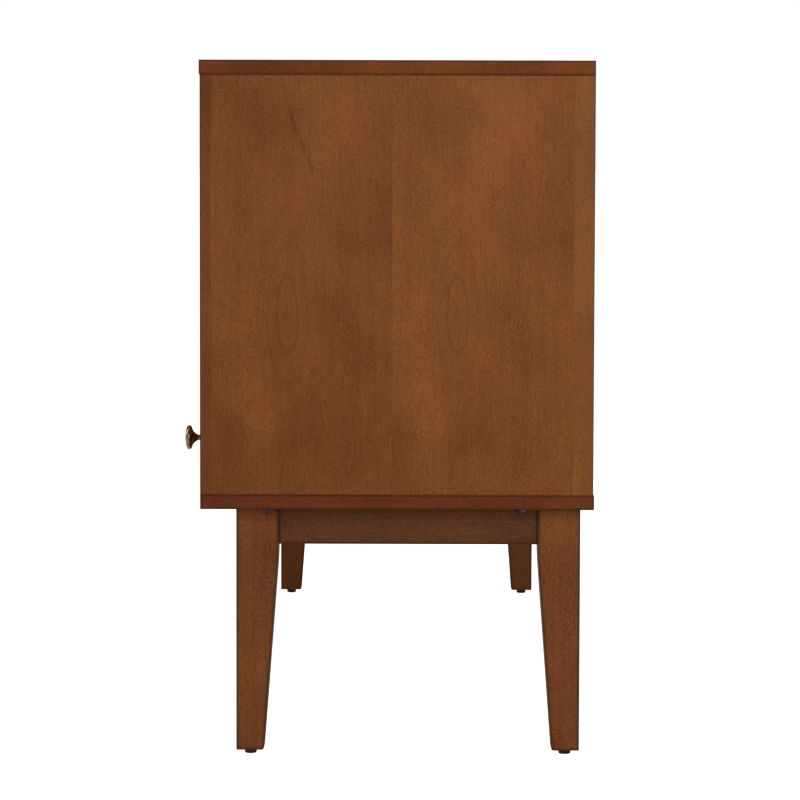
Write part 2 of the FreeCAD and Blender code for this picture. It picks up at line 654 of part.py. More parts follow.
TRACK_Y = FRONT + " + track_setback"
FRONT_DOOR_Y = FRONT + " + door_setback"
REAR_DOOR_Y = FRONT_DOOR_Y + " + door_thickness + door_gap"
FULL_WIDTH = times(2, INSIDE)
lower_track = board("door_track_lower", times(-1, INSIDE), TRACK_Y, DOOR_FLOOR,
                    FULL_WIDTH, "track_depth", "track_plate")
for door_y in (FRONT_DOOR_Y, REAR_DOOR_Y):
    block(lower_track, "Additive", times(-1, INSIDE), door_y + " + (door_thickness - rib_width) / 2",
          DOOR_FLOOR, FULL_WIDTH, "rib_width", "track_plate + rib_height")
upper_track = board("door_track_upper", times(-1, INSIDE), TRACK_Y, CEILING + " - track_plate",
                    FULL_WIDTH, "track_depth", "track_plate")
for step in (0, 1, 2):
    fin_y = plus(TRACK_Y, "%d * (track_depth - rib_width) / 2" % step)
    block(upper_track, "Additive", times(-1, INSIDE), fin_y,
          CEILING + " - track_plate - fin_height", FULL_WIDTH, "rib_width",
          "track_plate + fin_height")

bumpers = []
for word, x in (("left", times(-1, INSIDE)), ("right", INSIDE + " - bumper")):
    for row, door_y in (("front", FRONT_DOOR_Y), ("rear", REAR_DOOR_Y)):
        y = door_y + " + (door_thickness - bumper_width) / 2"
        pad_body = new_body("bumper_%s_%s" % (row, word), x, y, DOOR_FLOOR + " + bumper_rise")
        block(pad_body, "Additive", x, y, DOOR_FLOOR + " + bumper_rise",
              "bumper", "bumper_width", "bumper_height")
        bumpers.append(pad_body)
gather("door_bumpers", bumpers)

# ---------------------------------------------------------------------------------------------
# Sliding doors: a panel, a stile with a recessed pull, two glides below, two guides above.

DOOR_WIDTH = INSIDE + " + door_overlap / 2 - bumper - door_end_play"
DOOR_Z = DOOR_FLOOR + " + door_lift"
DOOR_HEIGHT = minus(CEILING + " - door_drop", DOOR_Z)
RUNNER_Y = "(door_thickness - runner_width) / 2"


def make_door(word, sign, door_y):
    """A door that closes against the case side on the side given by the sign."""
    outer = INSIDE + " - bumper - door_end_play"
    left = times(-1, outer) if sign < 0 else minus(outer, DOOR_WIDTH)
    stile_x = left if sign < 0 else minus(outer, "stile_width")
    panel_x = plus(left, "stile_width") if sign < 0 else left
    name = "door_" + word
    panel = board(name + "_panel", panel_x, door_y, DOOR_Z,
                  minus(DOOR_WIDTH, "stile_width"), "door_thickness", DOOR_HEIGHT)
    stile = board(name + "_stile", stile_x, door_y, DOOR_Z,
                  "stile_width", "door_thickness", DOOR_HEIGHT)
    middle_x = plus(stile_x, "stile_width / 2")
    middle_z = "(%s) / 2" % plus(DOOR_Z, CEILING + " - door_drop")
    block(stile, "Subtractive", minus(middle_x, "pull_width / 2 + pull_play"), door_y,
          minus(middle_z, "pull_height / 2 + pull_play"), "pull_width + 2 * pull_play",
          "pull_depth + pull_play", "pull_height + 2 * pull_play")
    pull = board(name + "_pull", minus(middle_x, "pull_width / 2"), door_y,
                 minus(middle_z, "pull_height / 2"), "pull_width", "pull_depth", "pull_height")
    block(pull, "Additive", minus(middle_x, "pull_width / 2 + pull_flange"), door_y + " - pull_lip",
          minus(middle_z, "pull_height / 2 + pull_flange"), "pull_width + 2 * pull_flange",
          "pull_lip", "pull_height + 2 * pull_flange")
    block(pull, "Subtractive", minus(middle_x, "pull_width / 2 - pull_wall"), door_y + " - pull_lip",
          minus(middle_z, "pull_height / 2 - pull_wall"), "pull_width - 2 * pull_wall",
          "pull_lip + pull_depth - pull_wall", "pull_height - 2 * pull_wall")
    runner_y = door_y + " + " + RUNNER_Y
    runners = []
    far_x = minus(plus(left, DOOR_WIDTH), "runner_inset + runner_length")
    for side, x in (("left", plus(left, "runner_inset")), ("right", far_x)):
        top_z = CEILING + " - door_drop"
        block(panel, "Subtractive", x, runner_y, DOOR_Z,
              "runner_length", "runner_width", "runner_depth")
        block(panel, "Subtractive", x, runner_y, top_z + " - runner_depth",
              "runner_length", "runner_width", "runner_depth")
        glide_z = DOOR_Z + " - glide_drop"
        shoe = new_body("%s_glide_%s" % (name, side), x, runner_y, glide_z)
        block(shoe, "Additive", x, runner_y, glide_z,
              "runner_length", "runner_width", "glide_drop + runner_depth")
        block(shoe, "Subtractive", x, runner_y + " + (runner_width - glide_groove) / 2", glide_z,
              "runner_length", "glide_groove", "glide_groove_height")
        runners.append(shoe)
        guide = new_body("%s_guide_%s" % (name, side), x, runner_y, top_z + " - runner_depth")
        block(guide, "Additive", x, runner_y, top_z + " - runner_depth",
              "runner_length", "runner_width", "runner_depth + guide_rise")
        runners.append(guide)
    gather(name + "_runners", runners)


make_door("front", 1, FRONT_DOOR_Y)
make_door("rear", -1, REAR_DOOR_Y)

# ---------------------------------------------------------------------------------------------
# Drawer knob: a shallow dome with a thick rounded rim, hollow behind, on a slim neck and a small foot.

KNOB_RIM = "knob_projection - knob_dome"
KNOB_FACE = "knob_radius - knob_rim_reach"
KNOB_POINTS = [
    ("0", "0"),
    ("knob_foot_radius", "0"),
    ("knob_foot_radius", "knob_foot_height"),
    ("knob_neck_radius", "knob_neck_back"),
    ("knob_neck_radius", "knob_neck_front"),
    (KNOB_FACE, KNOB_RIM + " - knob_rim"),
    (KNOB_FACE, KNOB_RIM),
    ("0", "knob_projection"),
]
KNOB_ARCS = {
    2: ("knob_foot_hollow", -1),
    4: ("knob_flare_radius", -1),
    5: ("knob_rim_radius", 1),
    6: ("((%s) ^ 2 + knob_dome ^ 2) / (2 * knob_dome)" % KNOB_FACE, 1),
}
knob = new_body("knob_shape")
knob_sketch = outline(knob, "XZ_Plane", KNOB_POINTS, KNOB_ARCS)
knob_turning = knob.newObject("PartDesign::Revolution", "knob_turning")
knob_turning.Profile = knob_sketch
knob_turning.ReferenceAxis = (knob_sketch, ["V_Axis"])
knob_turning.Angle = 360
rod(knob, "Additive", "0", "0", "0", "-Z", "knob_stud_radius", "knob_stud_length")

front_screw = new_body("front_screw_shape")
rod(front_screw, "Additive", "0", "0", "0", "-Z", "screw_head_radius", "screw_head_height")
rod(front_screw, "Additive", "0", "0", "0", "+Z", "front_screw_radius", "front_screw_length")

# ---------------------------------------------------------------------------------------------
# Drawers on three-part slides. The pan-head screws of the fixed members are listed here.

pan_places = []
SLIDE_Y = FRONT + " + slide_setback"
SLIDE_Z = FLOOR + " + box_lift + box_height / 2"
outer_members = []


def slide_member(name, wall_x, outward, start, web_first, reach, drop):
    """A channel beside a wall: a web and two flanges, from start to reach out of the wall."""
    half = "slide_height / 2 - %d * slide_step" % drop
    flange_x = wall_x if outward > 0 else minus(wall_x, reach)
    flange_x = plus(flange_x, times(outward, start)) if outward > 0 else flange_x
    width = minus(reach, start)
    web_out = start if web_first else minus(reach, "slide_sheet")
    web_x = plus(wall_x, web_out) if outward > 0 else minus(wall_x, plus(web_out, "slide_sheet"))
    body = new_body(name, web_x, SLIDE_Y, minus(SLIDE_Z, half))
    block(body, "Additive", web_x, SLIDE_Y, minus(SLIDE_Z, half),
          "slide_sheet", "slide_length", times(2, half))
    for z in (minus(SLIDE_Z, half), plus(SLIDE_Z, half) + " - slide_sheet"):
        block(body, "Additive", flange_x, SLIDE_Y, z, width, "slide_length", "slide_sheet")
    return body


def make_drawer(word, sign):
    """A drawer to the left or right of the lower divider."""
    name = "drawer_" + word
    centre = times(sign, "board / 2 + " + BAY + " / 2")
    front_width = BAY + " - 2 * front_gap"
    front_x = minus(centre, "(" + front_width + ") / 2")
    board(name + "_front", front_x, FRONT, FLOOR + " + front_gap",
          front_width, "front_thickness", "drawer_opening - 2 * front_gap")
    box_width = BAY + " - 2 * slide_room"
    box_x = minus(centre, "(" + box_width + ") / 2")
    box_y = FRONT + " + front_thickness"
    box_z = FLOOR + " + box_lift"
    groove_z = box_z + " + groove_rise"
    groove_height = "box_bottom + 2 * groove_play"
    inner_width = minus(box_width, "2 * box_wall")
    walls = []
    for side in ("left", "right"):
        x = box_x if side == "left" else minus(plus(box_x, box_width), "box_wall")
        wall = new_body("%s_side_%s" % (name, side), x, box_y, box_z)
        block(wall, "Additive", x, box_y, box_z, "box_wall", "box_length", "box_height")
        groove_x = plus(x, "box_wall - groove_depth") if side == "left" else x
        block(wall, "Subtractive", groove_x, box_y, groove_z,
              "groove_depth", "box_length", groove_height)
        walls.append(wall)
    gather(name + "_sides", walls)
    for end, y in (("inner_front", box_y), ("back", minus(plus(box_y, "box_length"), "box_wall"))):
        wall = board("%s_%s" % (name, end), plus(box_x, "box_wall"), y, box_z,
                     inner_width, "box_wall", "box_height")
        groove_y = plus(y, "box_wall - groove_depth") if end == "inner_front" else y
        block(wall, "Subtractive", plus(box_x, "box_wall"), groove_y, groove_z,
              inner_width, "groove_depth", groove_height)
    tongue = "groove_depth - groove_play"
    board(name + "_bottom", minus(plus(box_x, "box_wall"), tongue),
          minus(plus(box_y, "box_wall"), tongue), groove_z + " + groove_play",
          plus(inner_width, times(2, tongue)),
          minus("box_length - 2 * box_wall", times(-2, tongue)), "box_bottom")

    knob_z = FLOOR + " + drawer_opening / 2"
    knob_places = []
    for step in (-1, 1):
        x = plus(centre, times(step, "knob_place"))
        knob_places.append((x, FRONT, knob_z, TURNS["-Y"]))
        hole(name + "_front", x, FRONT, knob_z, "+Y", "knob_stud_radius + hole_play",
             "knob_stud_length + end_play")
    copies(name + "_knobs", knob, knob_places)

    screw_places = []
    for step in (-1, 1):
        x = plus(centre, times(step, "front_screw_far"))
        z = box_z + " + front_screw_rise"
        y = plus(box_y, "box_wall")
        screw_places.append((x, y, z, TURNS["-Y"]))
        hole(name + "_inner_front", x, y, z, "-Y", "front_screw_radius + hole_play", "box_wall")
        hole(name + "_front", x, box_y, z, "-Y", "front_screw_radius + hole_play",
             "front_screw_length - box_wall + end_play")
    copies(name + "_screws", front_screw, screw_places)

    middles = []
    inners = []
    inner_wall = "board / 2" if sign > 0 else times(-1, "board / 2")
    outer_wall = times(sign, INSIDE)
    for side, wall_x, outward in (("near", inner_wall, sign), ("far", outer_wall, -sign)):
        label = "%s_slide_%s" % (name, side)
        outer = slide_member(label + "_outer", wall_x, outward, "0", True, "outer_flange", 0)
        outer_members.append(outer)
        into = "-X" if outward > 0 else "+X"
        wall_piece = "drawer_divider" if side == "near" else "side_panel_" + word
        for step in (0, 1, 2):
            y = plus(SLIDE_Y, "slide_screw_near + %d * slide_screw_pitch" % step)
            if sign > 0:
                y = plus(y, "slide_screw_shift")
            head_x = plus(wall_x, times(outward, "slide_sheet"))
            pan_places.append((head_x, y, SLIDE_Z, TURNS[into]))
            rod(outer, "Subtractive", head_x, y, SLIDE_Z, into,
                "screw_radius + hole_play", "slide_sheet")
            hole(wall_piece, wall_x, y, SLIDE_Z, into, "screw_radius + hole_play",
                 "screw_length - slide_sheet + end_play")
        middle = slide_member(label + "_middle", wall_x, outward, "middle_start", True,
                              "middle_start + middle_flange", 1)
        middles.append(middle)
        inner = slide_member(label + "_inner", wall_x, outward, "slide_room - inner_flange",
                             False, "slide_room", 2)
        inners.append(inner)
    gather(name + "_middle_slides", middles)
    gather(name + "_inner_slides", inners)


make_drawer("left", -1)
make_drawer("right", 1)
gather("slide_outer_members", outer_members)

# ---------------------------------------------------------------------------------------------
# Pan-head screws of the door tracks and the back panel.

for step in (-1, 1):
    for reach in ("track_screw_near", "track_screw_far"):
        x = times(step, reach)
        y = plus(TRACK_Y, "track_depth / 2")
        z = DOOR_FLOOR + " + track_plate"
        pan_places.append((x, y, z, TURNS["-Z"]))
        hole("door_track_lower", x, y, z, "-Z", "screw_radius + hole_play", "track_plate")
        hole("door_deck", x, y, DOOR_FLOOR, "-Z", "screw_radius + hole_play",
             "screw_length - track_plate + end_play")
        y = FRONT_DOOR_Y + " + door_thickness / 2"
        z = CEILING + " - track_plate"
        pan_places.append((x, y, z, TURNS["+Z"]))
        hole("door_track_upper", x, y, z, "+Z", "screw_radius + hole_play", "track_plate")
        hole("top_panel", x, y, CEILING, "+Z", "screw_radius + hole_play",
             "screw_length - track_plate + end_play")

BACK_FACE = INNER_BACK + " + back_thickness"
SCREW_DEPTH = "screw_length - back_thickness + end_play"
back_screws = []
for sign, strip in zip((-1, 1), rear_strips):
    x = times(sign, INSIDE + " + back_rebate / 2")
    for part_of_height in EDGE_SCREWS:
        z = plus(FLOOR, "(%s) * %.2f" % (CASE_HEIGHT, part_of_height))
        back_screws.append((x, z))
        rod(strip, "Subtractive", x, INNER_BACK, z, "-Y", "screw_radius + hole_play", SCREW_DEPTH)
for step in (-1, 1):
    for reach in ("track_screw_near", "track_screw_far"):
        x = times(step, reach)
        z = DECK + " + board / 2"
        back_screws.append((x, z))
        hole("door_deck", x, INNER_BACK, z, "-Y", "screw_radius + hole_play", SCREW_DEPTH)
for part_of_height in MIDDLE_SCREWS:
    z = plus(FLOOR, "(%s) * %.2f" % (CASE_HEIGHT, part_of_height))
    back_screws.append(("0", z))
    hole("upper_divider", "0", INNER_BACK, z, "-Y", "screw_radius + hole_play", SCREW_DEPTH)
for x, z in back_screws:
    pan_places.append((x, BACK_FACE, z, TURNS["-Y"]))
    hole("back_panel", x, BACK_FACE, z, "-Y", "screw_radius + hole_play", "back_thickness")

pan_screw = new_body("pan_screw_shape")
rod(pan_screw, "Additive", "0", "0", "0", "-Z", "screw_head_radius", "screw_head_height")
rod(pan_screw, "Additive", "0", "0", "0", "+Z", "screw_radius", "screw_length")
copies("pan_head_screws", pan_screw, pan_places)

# ---------------------------------------------------------------------------------------------
# Bore the legs, check every object and write one file for each piece.

for name, blank in leg_blanks.items():
    drills = doc.addObject("Part::Compound", name + "_drills")
    drills.Links = leg_holes[name]
    leg = doc.addObject("Part::Cut", name)
    leg.Base = blank
    leg.Tool = drills
    leg.Label = name
    pieces[name] = leg

doc.recompute()

for item in doc.Objects:
    if "Invalid" in item.State or "Error" in item.State:
        raise RuntimeError("%s: %s" % (item.Label, item.State))

os.makedirs("parts", exist_ok=True)
for name, piece in sorted(pieces.items()):
    shape = piece.Shape
    if shape.isNull() or not shape.isValid():
        raise RuntimeError("no valid shape for " + name)
    if any(solid.Volume <= 0 for solid in shape.Solids) or not shape.Solids:
        raise RuntimeError("no volume in " + name)
    shape.exportStep(os.path.join("parts", name + ".step"))
print("%d pieces written" % len(pieces))
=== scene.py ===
import json
import math

import bmesh
import bpy
from mathutils import Matrix, Vector


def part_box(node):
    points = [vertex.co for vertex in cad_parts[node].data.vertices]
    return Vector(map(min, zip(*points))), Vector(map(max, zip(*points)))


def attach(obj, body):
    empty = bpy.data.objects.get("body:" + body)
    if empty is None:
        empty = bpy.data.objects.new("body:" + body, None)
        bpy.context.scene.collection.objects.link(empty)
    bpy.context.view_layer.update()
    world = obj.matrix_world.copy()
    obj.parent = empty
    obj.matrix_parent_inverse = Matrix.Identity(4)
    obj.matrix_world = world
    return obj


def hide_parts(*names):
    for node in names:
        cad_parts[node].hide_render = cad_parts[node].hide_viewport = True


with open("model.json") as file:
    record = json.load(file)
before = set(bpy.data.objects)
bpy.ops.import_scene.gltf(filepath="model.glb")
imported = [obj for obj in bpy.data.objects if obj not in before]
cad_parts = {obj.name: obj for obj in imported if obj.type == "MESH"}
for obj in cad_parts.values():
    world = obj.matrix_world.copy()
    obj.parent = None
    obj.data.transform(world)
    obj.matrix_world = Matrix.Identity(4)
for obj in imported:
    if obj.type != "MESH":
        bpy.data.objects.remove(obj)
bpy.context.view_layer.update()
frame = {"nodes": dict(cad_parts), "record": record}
NODES = frame["nodes"]
SLOTS = {part["node"]: part["material_slot"] for part in frame["record"]["subparts"]}
MM = 0.001


# ---------------------------------------------------------------------------------------------
# Small helpers for material graphs.

def linear(red, green, blue):
    """A linear colour from a usual screen colour."""
    def channel(value):
        value /= 255.0
        return value / 12.92 if value <= 0.04045 else ((value + 0.055) / 1.055) ** 2.4
    return (channel(red), channel(green), channel(blue))


# What the lacquer reflects in the studio, and how much light falls on an upright board.
SHEEN = (0.0105, 0.0072, 0.0046)
STUDIO_LIGHT = 1.34


def wood_tone(red, green, blue, light=STUDIO_LIGHT):
    """The base colour of wood that shows a screen colour in the studio light with its sheen."""
    return tuple(max(0.002, (c - s) / light) for c, s in zip(linear(red, green, blue), SHEEN))


def scaled(colour, *factors):
    if len(factors) == 1:
        factors = factors * 3
    return tuple(min(1.0, c * f) for c, f in zip(colour, factors))


class Graph:
    """A material and short ways to add nodes to it."""

    def __init__(self, name):
        self.material = bpy.data.materials.new(name)
        self.material.use_nodes = True
        self.tree = self.material.node_tree
        self.tree.nodes.clear()
        self.coords = self.add("ShaderNodeTexCoord").outputs["Object"]
        self.shader = self.add("ShaderNodeBsdfPrincipled")
        output = self.add("ShaderNodeOutputMaterial")
        self.tree.links.new(self.shader.outputs["BSDF"], output.inputs["Surface"])

    def add(self, kind, inputs=None, **settings):
        node = self.tree.nodes.new(kind)
        for key, value in settings.items():
            setattr(node, key, value)
        for key, value in (inputs or {}).items():
            self.feed(node.inputs[key], value)
        return node

    def feed(self, socket, value):
        if isinstance(value, bpy.types.NodeSocket):
            self.tree.links.new(value, socket)
        elif isinstance(value, (tuple, list)) and socket.type == "RGBA" and len(value) == 3:
            socket.default_value = (*value, 1.0)
        else:
            socket.default_value = value

    def math(self, operation, first, second=0.5, clamp=False):
        node = self.add("ShaderNodeMath", {0: first, 1: second}, operation=operation,
                        use_clamp=clamp)
        return node.outputs[0]

    def plus(self, *values):
        result = values[0]
        for value in values[1:]:
            result = self.math("ADD", result, value)
        return result

    def minus(self, first, second):
        return self.math("SUBTRACT", first, second)

    def times(self, *values):
        result = values[0]
        for value in values[1:]:
            result = self.math("MULTIPLY", result, value)
        return result

    def over(self, first, second):
        return self.math("DIVIDE", first, second)

    def between(self, value, low, high, low_out=0.0, high_out=1.0):
        """A smooth step of a value from low to high."""
        node = self.add("ShaderNodeMapRange", {0: value, 1: low, 2: high, 3: low_out, 4: high_out},
                        interpolation_type="SMOOTHSTEP")
        return node.outputs[0]

    def centred(self, value, amount):
        """A noise value as a swing of a given amount about zero."""
        return self.times(self.minus(value, 0.5), amount)

    def mix(self, factor, first, second, blend="MIX"):
        node = self.add("ShaderNodeMix", {0: factor, 6: first, 7: second}, data_type="RGBA",
                        blend_type=blend)
        return node.outputs[2]

    def tinted(self, factor, colour, tint):
        """A colour that takes on a tint where the factor is high."""
        return self.mix(factor, colour, self.mix(1.0, colour, tint, "MULTIPLY"))

    def split(self, vector):
        """The three parts of a vector."""
        return self.add("ShaderNodeSeparateXYZ", {0: vector}).outputs

    def stretch(self, scale, shift=(0, 0, 0), vector=None):
        node = self.add("ShaderNodeMapping", {"Vector": vector or self.coords,
                                              "Location": shift, "Scale": scale})
        return node.outputs[0]

    def noise(self, vector, scale=1.0, detail=3.0, roughness=0.55, distortion=0.0):
        node = self.add("ShaderNodeTexNoise", {"Vector": vector, "Scale": scale, "Detail": detail,
                                               "Roughness": roughness, "Distortion": distortion})
        return node.outputs["Fac"]

    def ramp(self, factor, *stops):
        node = self.add("ShaderNodeValToRGB", {0: factor})
        ramp = node.color_ramp
        while len(ramp.elements) < len(stops):
            ramp.elements.new(0.5)
        for element, (place, colour) in zip(ramp.elements, stops):
            element.position = place
            element.color = (*colour, 1.0)
        return node.outputs[0]

    def bump(self, height, strength, distance):
        node = self.add("ShaderNodeBump", {"Height": height, "Strength": strength,
                                           "Distance": distance})
        self.tree.links.new(node.outputs[0], self.shader.inputs["Normal"])

    def finish(self, **values):
        for key, value in values.items():
            self.feed(self.shader.inputs[key.replace("_", " ")], value)
        return self.material


def grain_scale(axis, across, along):
    return tuple(along if letter == axis else across for letter in "XYZ")


# ---------------------------------------------------------------------------------------------
# Wood.

# The layers of a wood's figure. Each has its noise cells per metre across and along the grain,
# the place it is taken from, its detail, its roughness and its distortion.
CLOUDS = (12.5, 9.5, 1.0, 2.8, 0.50, 0.15)
BANDS = (30.0, 1.3, 2.0, 3.0, 0.5, 0.3)
FIBRES = (150.0, 7.0, 2.5, 3.0, 0.6, 0.3)
STREAKS = (430.0, 70.0, 3.0, 3.0, 0.65, 0.0)
FLECKS = (950.0, 520.0, 4.0, 2.0, 0.7, 0.0)
TINT = (17.0, 11.0, 5.0, 2.0, 0.5, 0.0)
DASHES = (1100.0, 70.0, 6.0, 2.0, 0.5, 0.0)
GRAIN_WANDER = 10 * MM

# Colours as factors of the wood's own colour.
DARK_WOOD = (0.50, 0.46, 0.46)
LIGHT_WOOD = (1.52, 1.60, 1.66)
GOLDEN = (1.04, 1.13, 1.06)
RUSSET = (0.96, 0.90, 0.99)
OPEN_PORE = (0.42, 0.36, 0.34)
# Stain and painted shade along the outer edges of a board.
STAINED_AND_SHADED_EDGE = (0.36, 0.28, 0.30)
JOINT_SHADOW = (0.20, 0.13, 0.15)
LOOP_LINE = (0.55, 0.50, 0.52)
MINERAL = (0.55, 0.51, 0.58)
PALE_RIBBON = (1.17, 1.19, 1.13)
SECOND_LEAF = (1.10, 1.13, 1.12)
SECOND_BAND = (1.09, 1.08, 0.98)


def wood_layers(g, vector, axis, seed, base, contrast=1.0, patches=1.0, stripes=0.30):
    """The colour of stained, lacquered wood with its grain along an axis, and its pores."""
    bend = g.noise(g.stretch(grain_scale(axis, 9.0, 3.0), (seed, seed, seed), vector), detail=2.0)
    warped = g.add("ShaderNodeVectorMath", {0: vector}, operation="ADD")
    push = g.add("ShaderNodeCombineXYZ")
    for index, letter in enumerate("XYZ"):
        if letter != axis:
            g.feed(push.inputs[index], g.centred(bend, GRAIN_WANDER))
    g.feed(warped.inputs[1], push.outputs[0])

    def layer(across, along, offset, detail, roughness, distortion):
        scale = grain_scale(axis, across, along)
        shift = (seed * 3.1 + offset, seed * 1.7 + offset, seed * 2.3 + offset)
        vector = g.stretch(scale, shift, warped.outputs[0])
        return g.noise(vector, 1.0, detail, roughness, distortion)

    streaks = layer(*STREAKS)
    value = g.plus(0.5, g.centred(layer(*CLOUDS), 0.82 * patches),
                   g.centred(layer(*BANDS), stripes * contrast),
                   g.centred(layer(*FIBRES), 0.24 * contrast),
                   g.centred(streaks, 0.40 * contrast),
                   g.centred(layer(*FLECKS), 1.20 * contrast))
    colour = g.ramp(value, (0.0, scaled(base, *DARK_WOOD)), (0.5, base),
                    (1.0, scaled(base, *LIGHT_WOOD)))
    tint = layer(*TINT)
    golden = g.between(tint, 0.45, 0.72)
    colour = g.tinted(g.times(golden, 0.55 * patches), colour, GOLDEN)
    russet = g.between(tint, 0.55, 0.28)
    colour = g.tinted(g.times(russet, 0.55 * patches), colour, RUSSET)
    pores = g.between(layer(*DASHES), 0.58, 0.70)
    colour = g.mix(g.times(pores, 0.20), colour, scaled(base, *OPEN_PORE))
    return colour, pores, streaks


def edge_stain_and_shade(g, colour, base, reach=4.2 * MM):
    """Darker outer edges of a board: partly stain that gathered there, partly painted shade."""
    hidden = g.add("ShaderNodeAmbientOcclusion", {"Distance": reach}, inside=True,
                   only_local=True, samples=6).outputs["AO"]
    near = g.between(hidden, 0.98, 0.68)
    return g.mix(g.times(near, 0.85), colour, scaled(base, *STAINED_AND_SHADED_EDGE))


def joint_shadow_lines(g, colour, base):
    """Thin lines of painted shadow where a side of the case meets its neighbours and at its outer
    edges.
    """
    low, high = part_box("side_panel_right")
    front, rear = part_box("front_edge_strips")[0].y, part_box("rear_edge_strips")[1].y
    y, z = g.split(g.coords)[1:3]
    lines = [
        (g.between(z, high.z - 1.4 * MM, high.z - 0.5 * MM), 0.75),
        (g.between(z, low.z + 1.8 * MM, low.z + 0.2 * MM), 0.50),
        (g.between(y, front + 1.8 * MM, front + 0.4 * MM), 0.80),
        (g.between(y, rear - 1.6 * MM, rear - 0.4 * MM), 0.55),
    ]
    for line, strength in lines:
        colour = g.mix(g.times(line, strength), colour, scaled(base, *JOINT_SHADOW))
    return colour


def satin(g, colour, pores, streaks, seed, rough=0.46, coat=0.0):
    """A thin satin lacquer: open pores, faint brush marks, a few scuffs in the sheen."""
    smudge = g.noise(g.stretch((7.0, 7.0, 7.0), (seed, 0, seed)), detail=3.0)
    scuff = g.noise(g.stretch((90.0, 35.0, 60.0), (seed, seed, 0)), detail=5.0, distortion=0.6)
    worn = g.between(scuff, 0.58, 0.75)
    roughness = g.plus(rough, g.centred(smudge, 0.12), g.times(pores, 0.12), g.times(worn, 0.10))
    g.bump(g.minus(g.times(streaks, 0.5), pores), 0.12, 0.2 * MM)
    return g.finish(Base_Color=colour, Roughness=roughness, Coat_Weight=coat,
                    Coat_Roughness=0.34, Specular_IOR_Level=0.11, Specular_Tint=(1.0, 0.70, 0.45))


def plain_wood(name, base, axis, seed, contrast=1.0, patches=1.0, rough=0.46, coat=0.0,
               reach=4.2 * MM):
    """One board with its grain along an axis, and a darker edge of stain and painted shade."""
    g = Graph(name)
    colour, pores, streaks = wood_layers(g, g.coords, axis, seed, base, contrast, patches)
    return satin(g, edge_stain_and_shade(g, colour, base, reach), pores, streaks, seed, rough, coat)


def edge_strip(name, base, seed):
    """A solid upright strip at the front or rear of a case side."""
    g = Graph(name)
    colour, pores, streaks = wood_layers(g, g.coords, "Z", seed, base)
    return satin(g, joint_shadow_lines(g, colour, base), pores, streaks, seed)


def banded_board(name, base, edge, seed, seam=None):
    """A veneered board with its grain along x, whose two ends are banded with strips that run
    along y. Behind a seam the band goes on with a lighter length of wood."""
    g = Graph(name)
    face, pores, streaks = wood_layers(g, g.coords, "X", seed, base, 1.2, 0.65)
    band = wood_layers(g, g.coords, "Y", seed + 4.0, edge, 1.3, 1.4)[0]
    if seam is not None:
        y = g.split(g.coords)[1]
        second = g.between(y, seam - 4 * MM, seam + 4 * MM)
        band = g.tinted(second, band, SECOND_BAND)
    normal = g.split(g.add("ShaderNodeNewGeometry").outputs["True Normal"])
    end = g.math("GREATER_THAN", g.math("ABSOLUTE", normal[0]), 0.5)
    colour = g.mix(end, face, band)
    return satin(g, edge_stain_and_shade(g, colour, edge, 3.0 * MM), pores, streaks, seed)


# The figure of the case sides. Places are measured back from the front edge of a leaf and up
# from the foot of the panel.
LEAF_WIDTH = 198.5 * MM
LEAF_DRIFT = 12 * MM
HEART_PLACE, HEART_RISE = 82.5 * MM, 200 * MM
LOOP_HALF_WIDTH, LOOP_HALF_HEIGHT = 14 * MM, 52 * MM
RIBBON_PLACE, RIBBON_HALF_WIDTH = 36 * MM, 31 * MM
RIBBON_LEAN, LEAN_RISE = 40 * MM, 150 * MM
STREAK_PLACE, STREAK_LEAN = 113.6 * MM, -29.5 * MM
STREAK_LOW, STREAK_HIGH = 340 * MM, 436 * MM


def cathedral(g, colour, base, place, rise, wobble):
    """Long faint loops round a heart."""
    across = g.over(g.minus(place, HEART_PLACE), LOOP_HALF_WIDTH)
    height = g.over(g.minus(rise, HEART_RISE), LOOP_HALF_HEIGHT)
    squared = g.plus(g.times(across, across), g.times(height, height))
    distance = g.plus(g.math("SQRT", squared), g.centred(wobble, 1.1))
    line = g.between(g.math("SINE", g.times(distance, 9.0)), 0.55, 1.0)
    near = g.between(distance, 2.6, 0.6)
    strength = g.plus(g.times(near, 0.26), 0.05)
    return g.mix(g.times(line, strength), colour, scaled(base, *LOOP_LINE))


def pale_ribbon(g, colour, place, rise, wobble):
    """A paler ribbon that runs up near the front of a leaf and leans back towards the foot."""
    lean = g.between(rise, LEAN_RISE, 0.0, 0.0, RIBBON_LEAN)
    offset = g.plus(g.minus(g.minus(place, RIBBON_PLACE), lean), g.centred(wobble, 24 * MM))
    inside = g.between(g.math("ABSOLUTE", offset), RIBBON_HALF_WIDTH, 6 * MM)
    ribbon = g.times(inside, g.between(rise, 330 * MM, 230 * MM))
    return g.tinted(g.times(ribbon, 0.75), colour, PALE_RIBBON)


def mineral_streak(g, colour, base, depth, rise):
    """One dark, broken streak, a thin lens that leans forwards as it rises."""
    part = g.between(rise, STREAK_LOW, STREAK_HIGH)
    ragged = g.noise(g.stretch((300.0, 300.0, 60.0)), detail=2.0)
    middle = g.plus(STREAK_PLACE, g.times(part, STREAK_LEAN))
    offset = g.math("ABSOLUTE", g.plus(g.minus(depth, middle), g.centred(ragged, 6.5 * MM)))
    lens = g.times(part, g.minus(1.0, part), 30 * MM)
    half_width = g.plus(lens, 0.6 * MM)
    dark = g.math("SUBTRACT", 1.0, g.over(offset, half_width), clamp=True)
    low_end = g.between(rise, STREAK_LOW - 4 * MM, STREAK_LOW + 16 * MM)
    high_end = g.between(rise, STREAK_HIGH, STREAK_HIGH - 18 * MM)
    broken = g.times(dark, low_end, high_end, g.between(ragged, 0.34, 0.56))
    return g.mix(g.times(broken, 0.75), colour, scaled(base, *MINERAL))


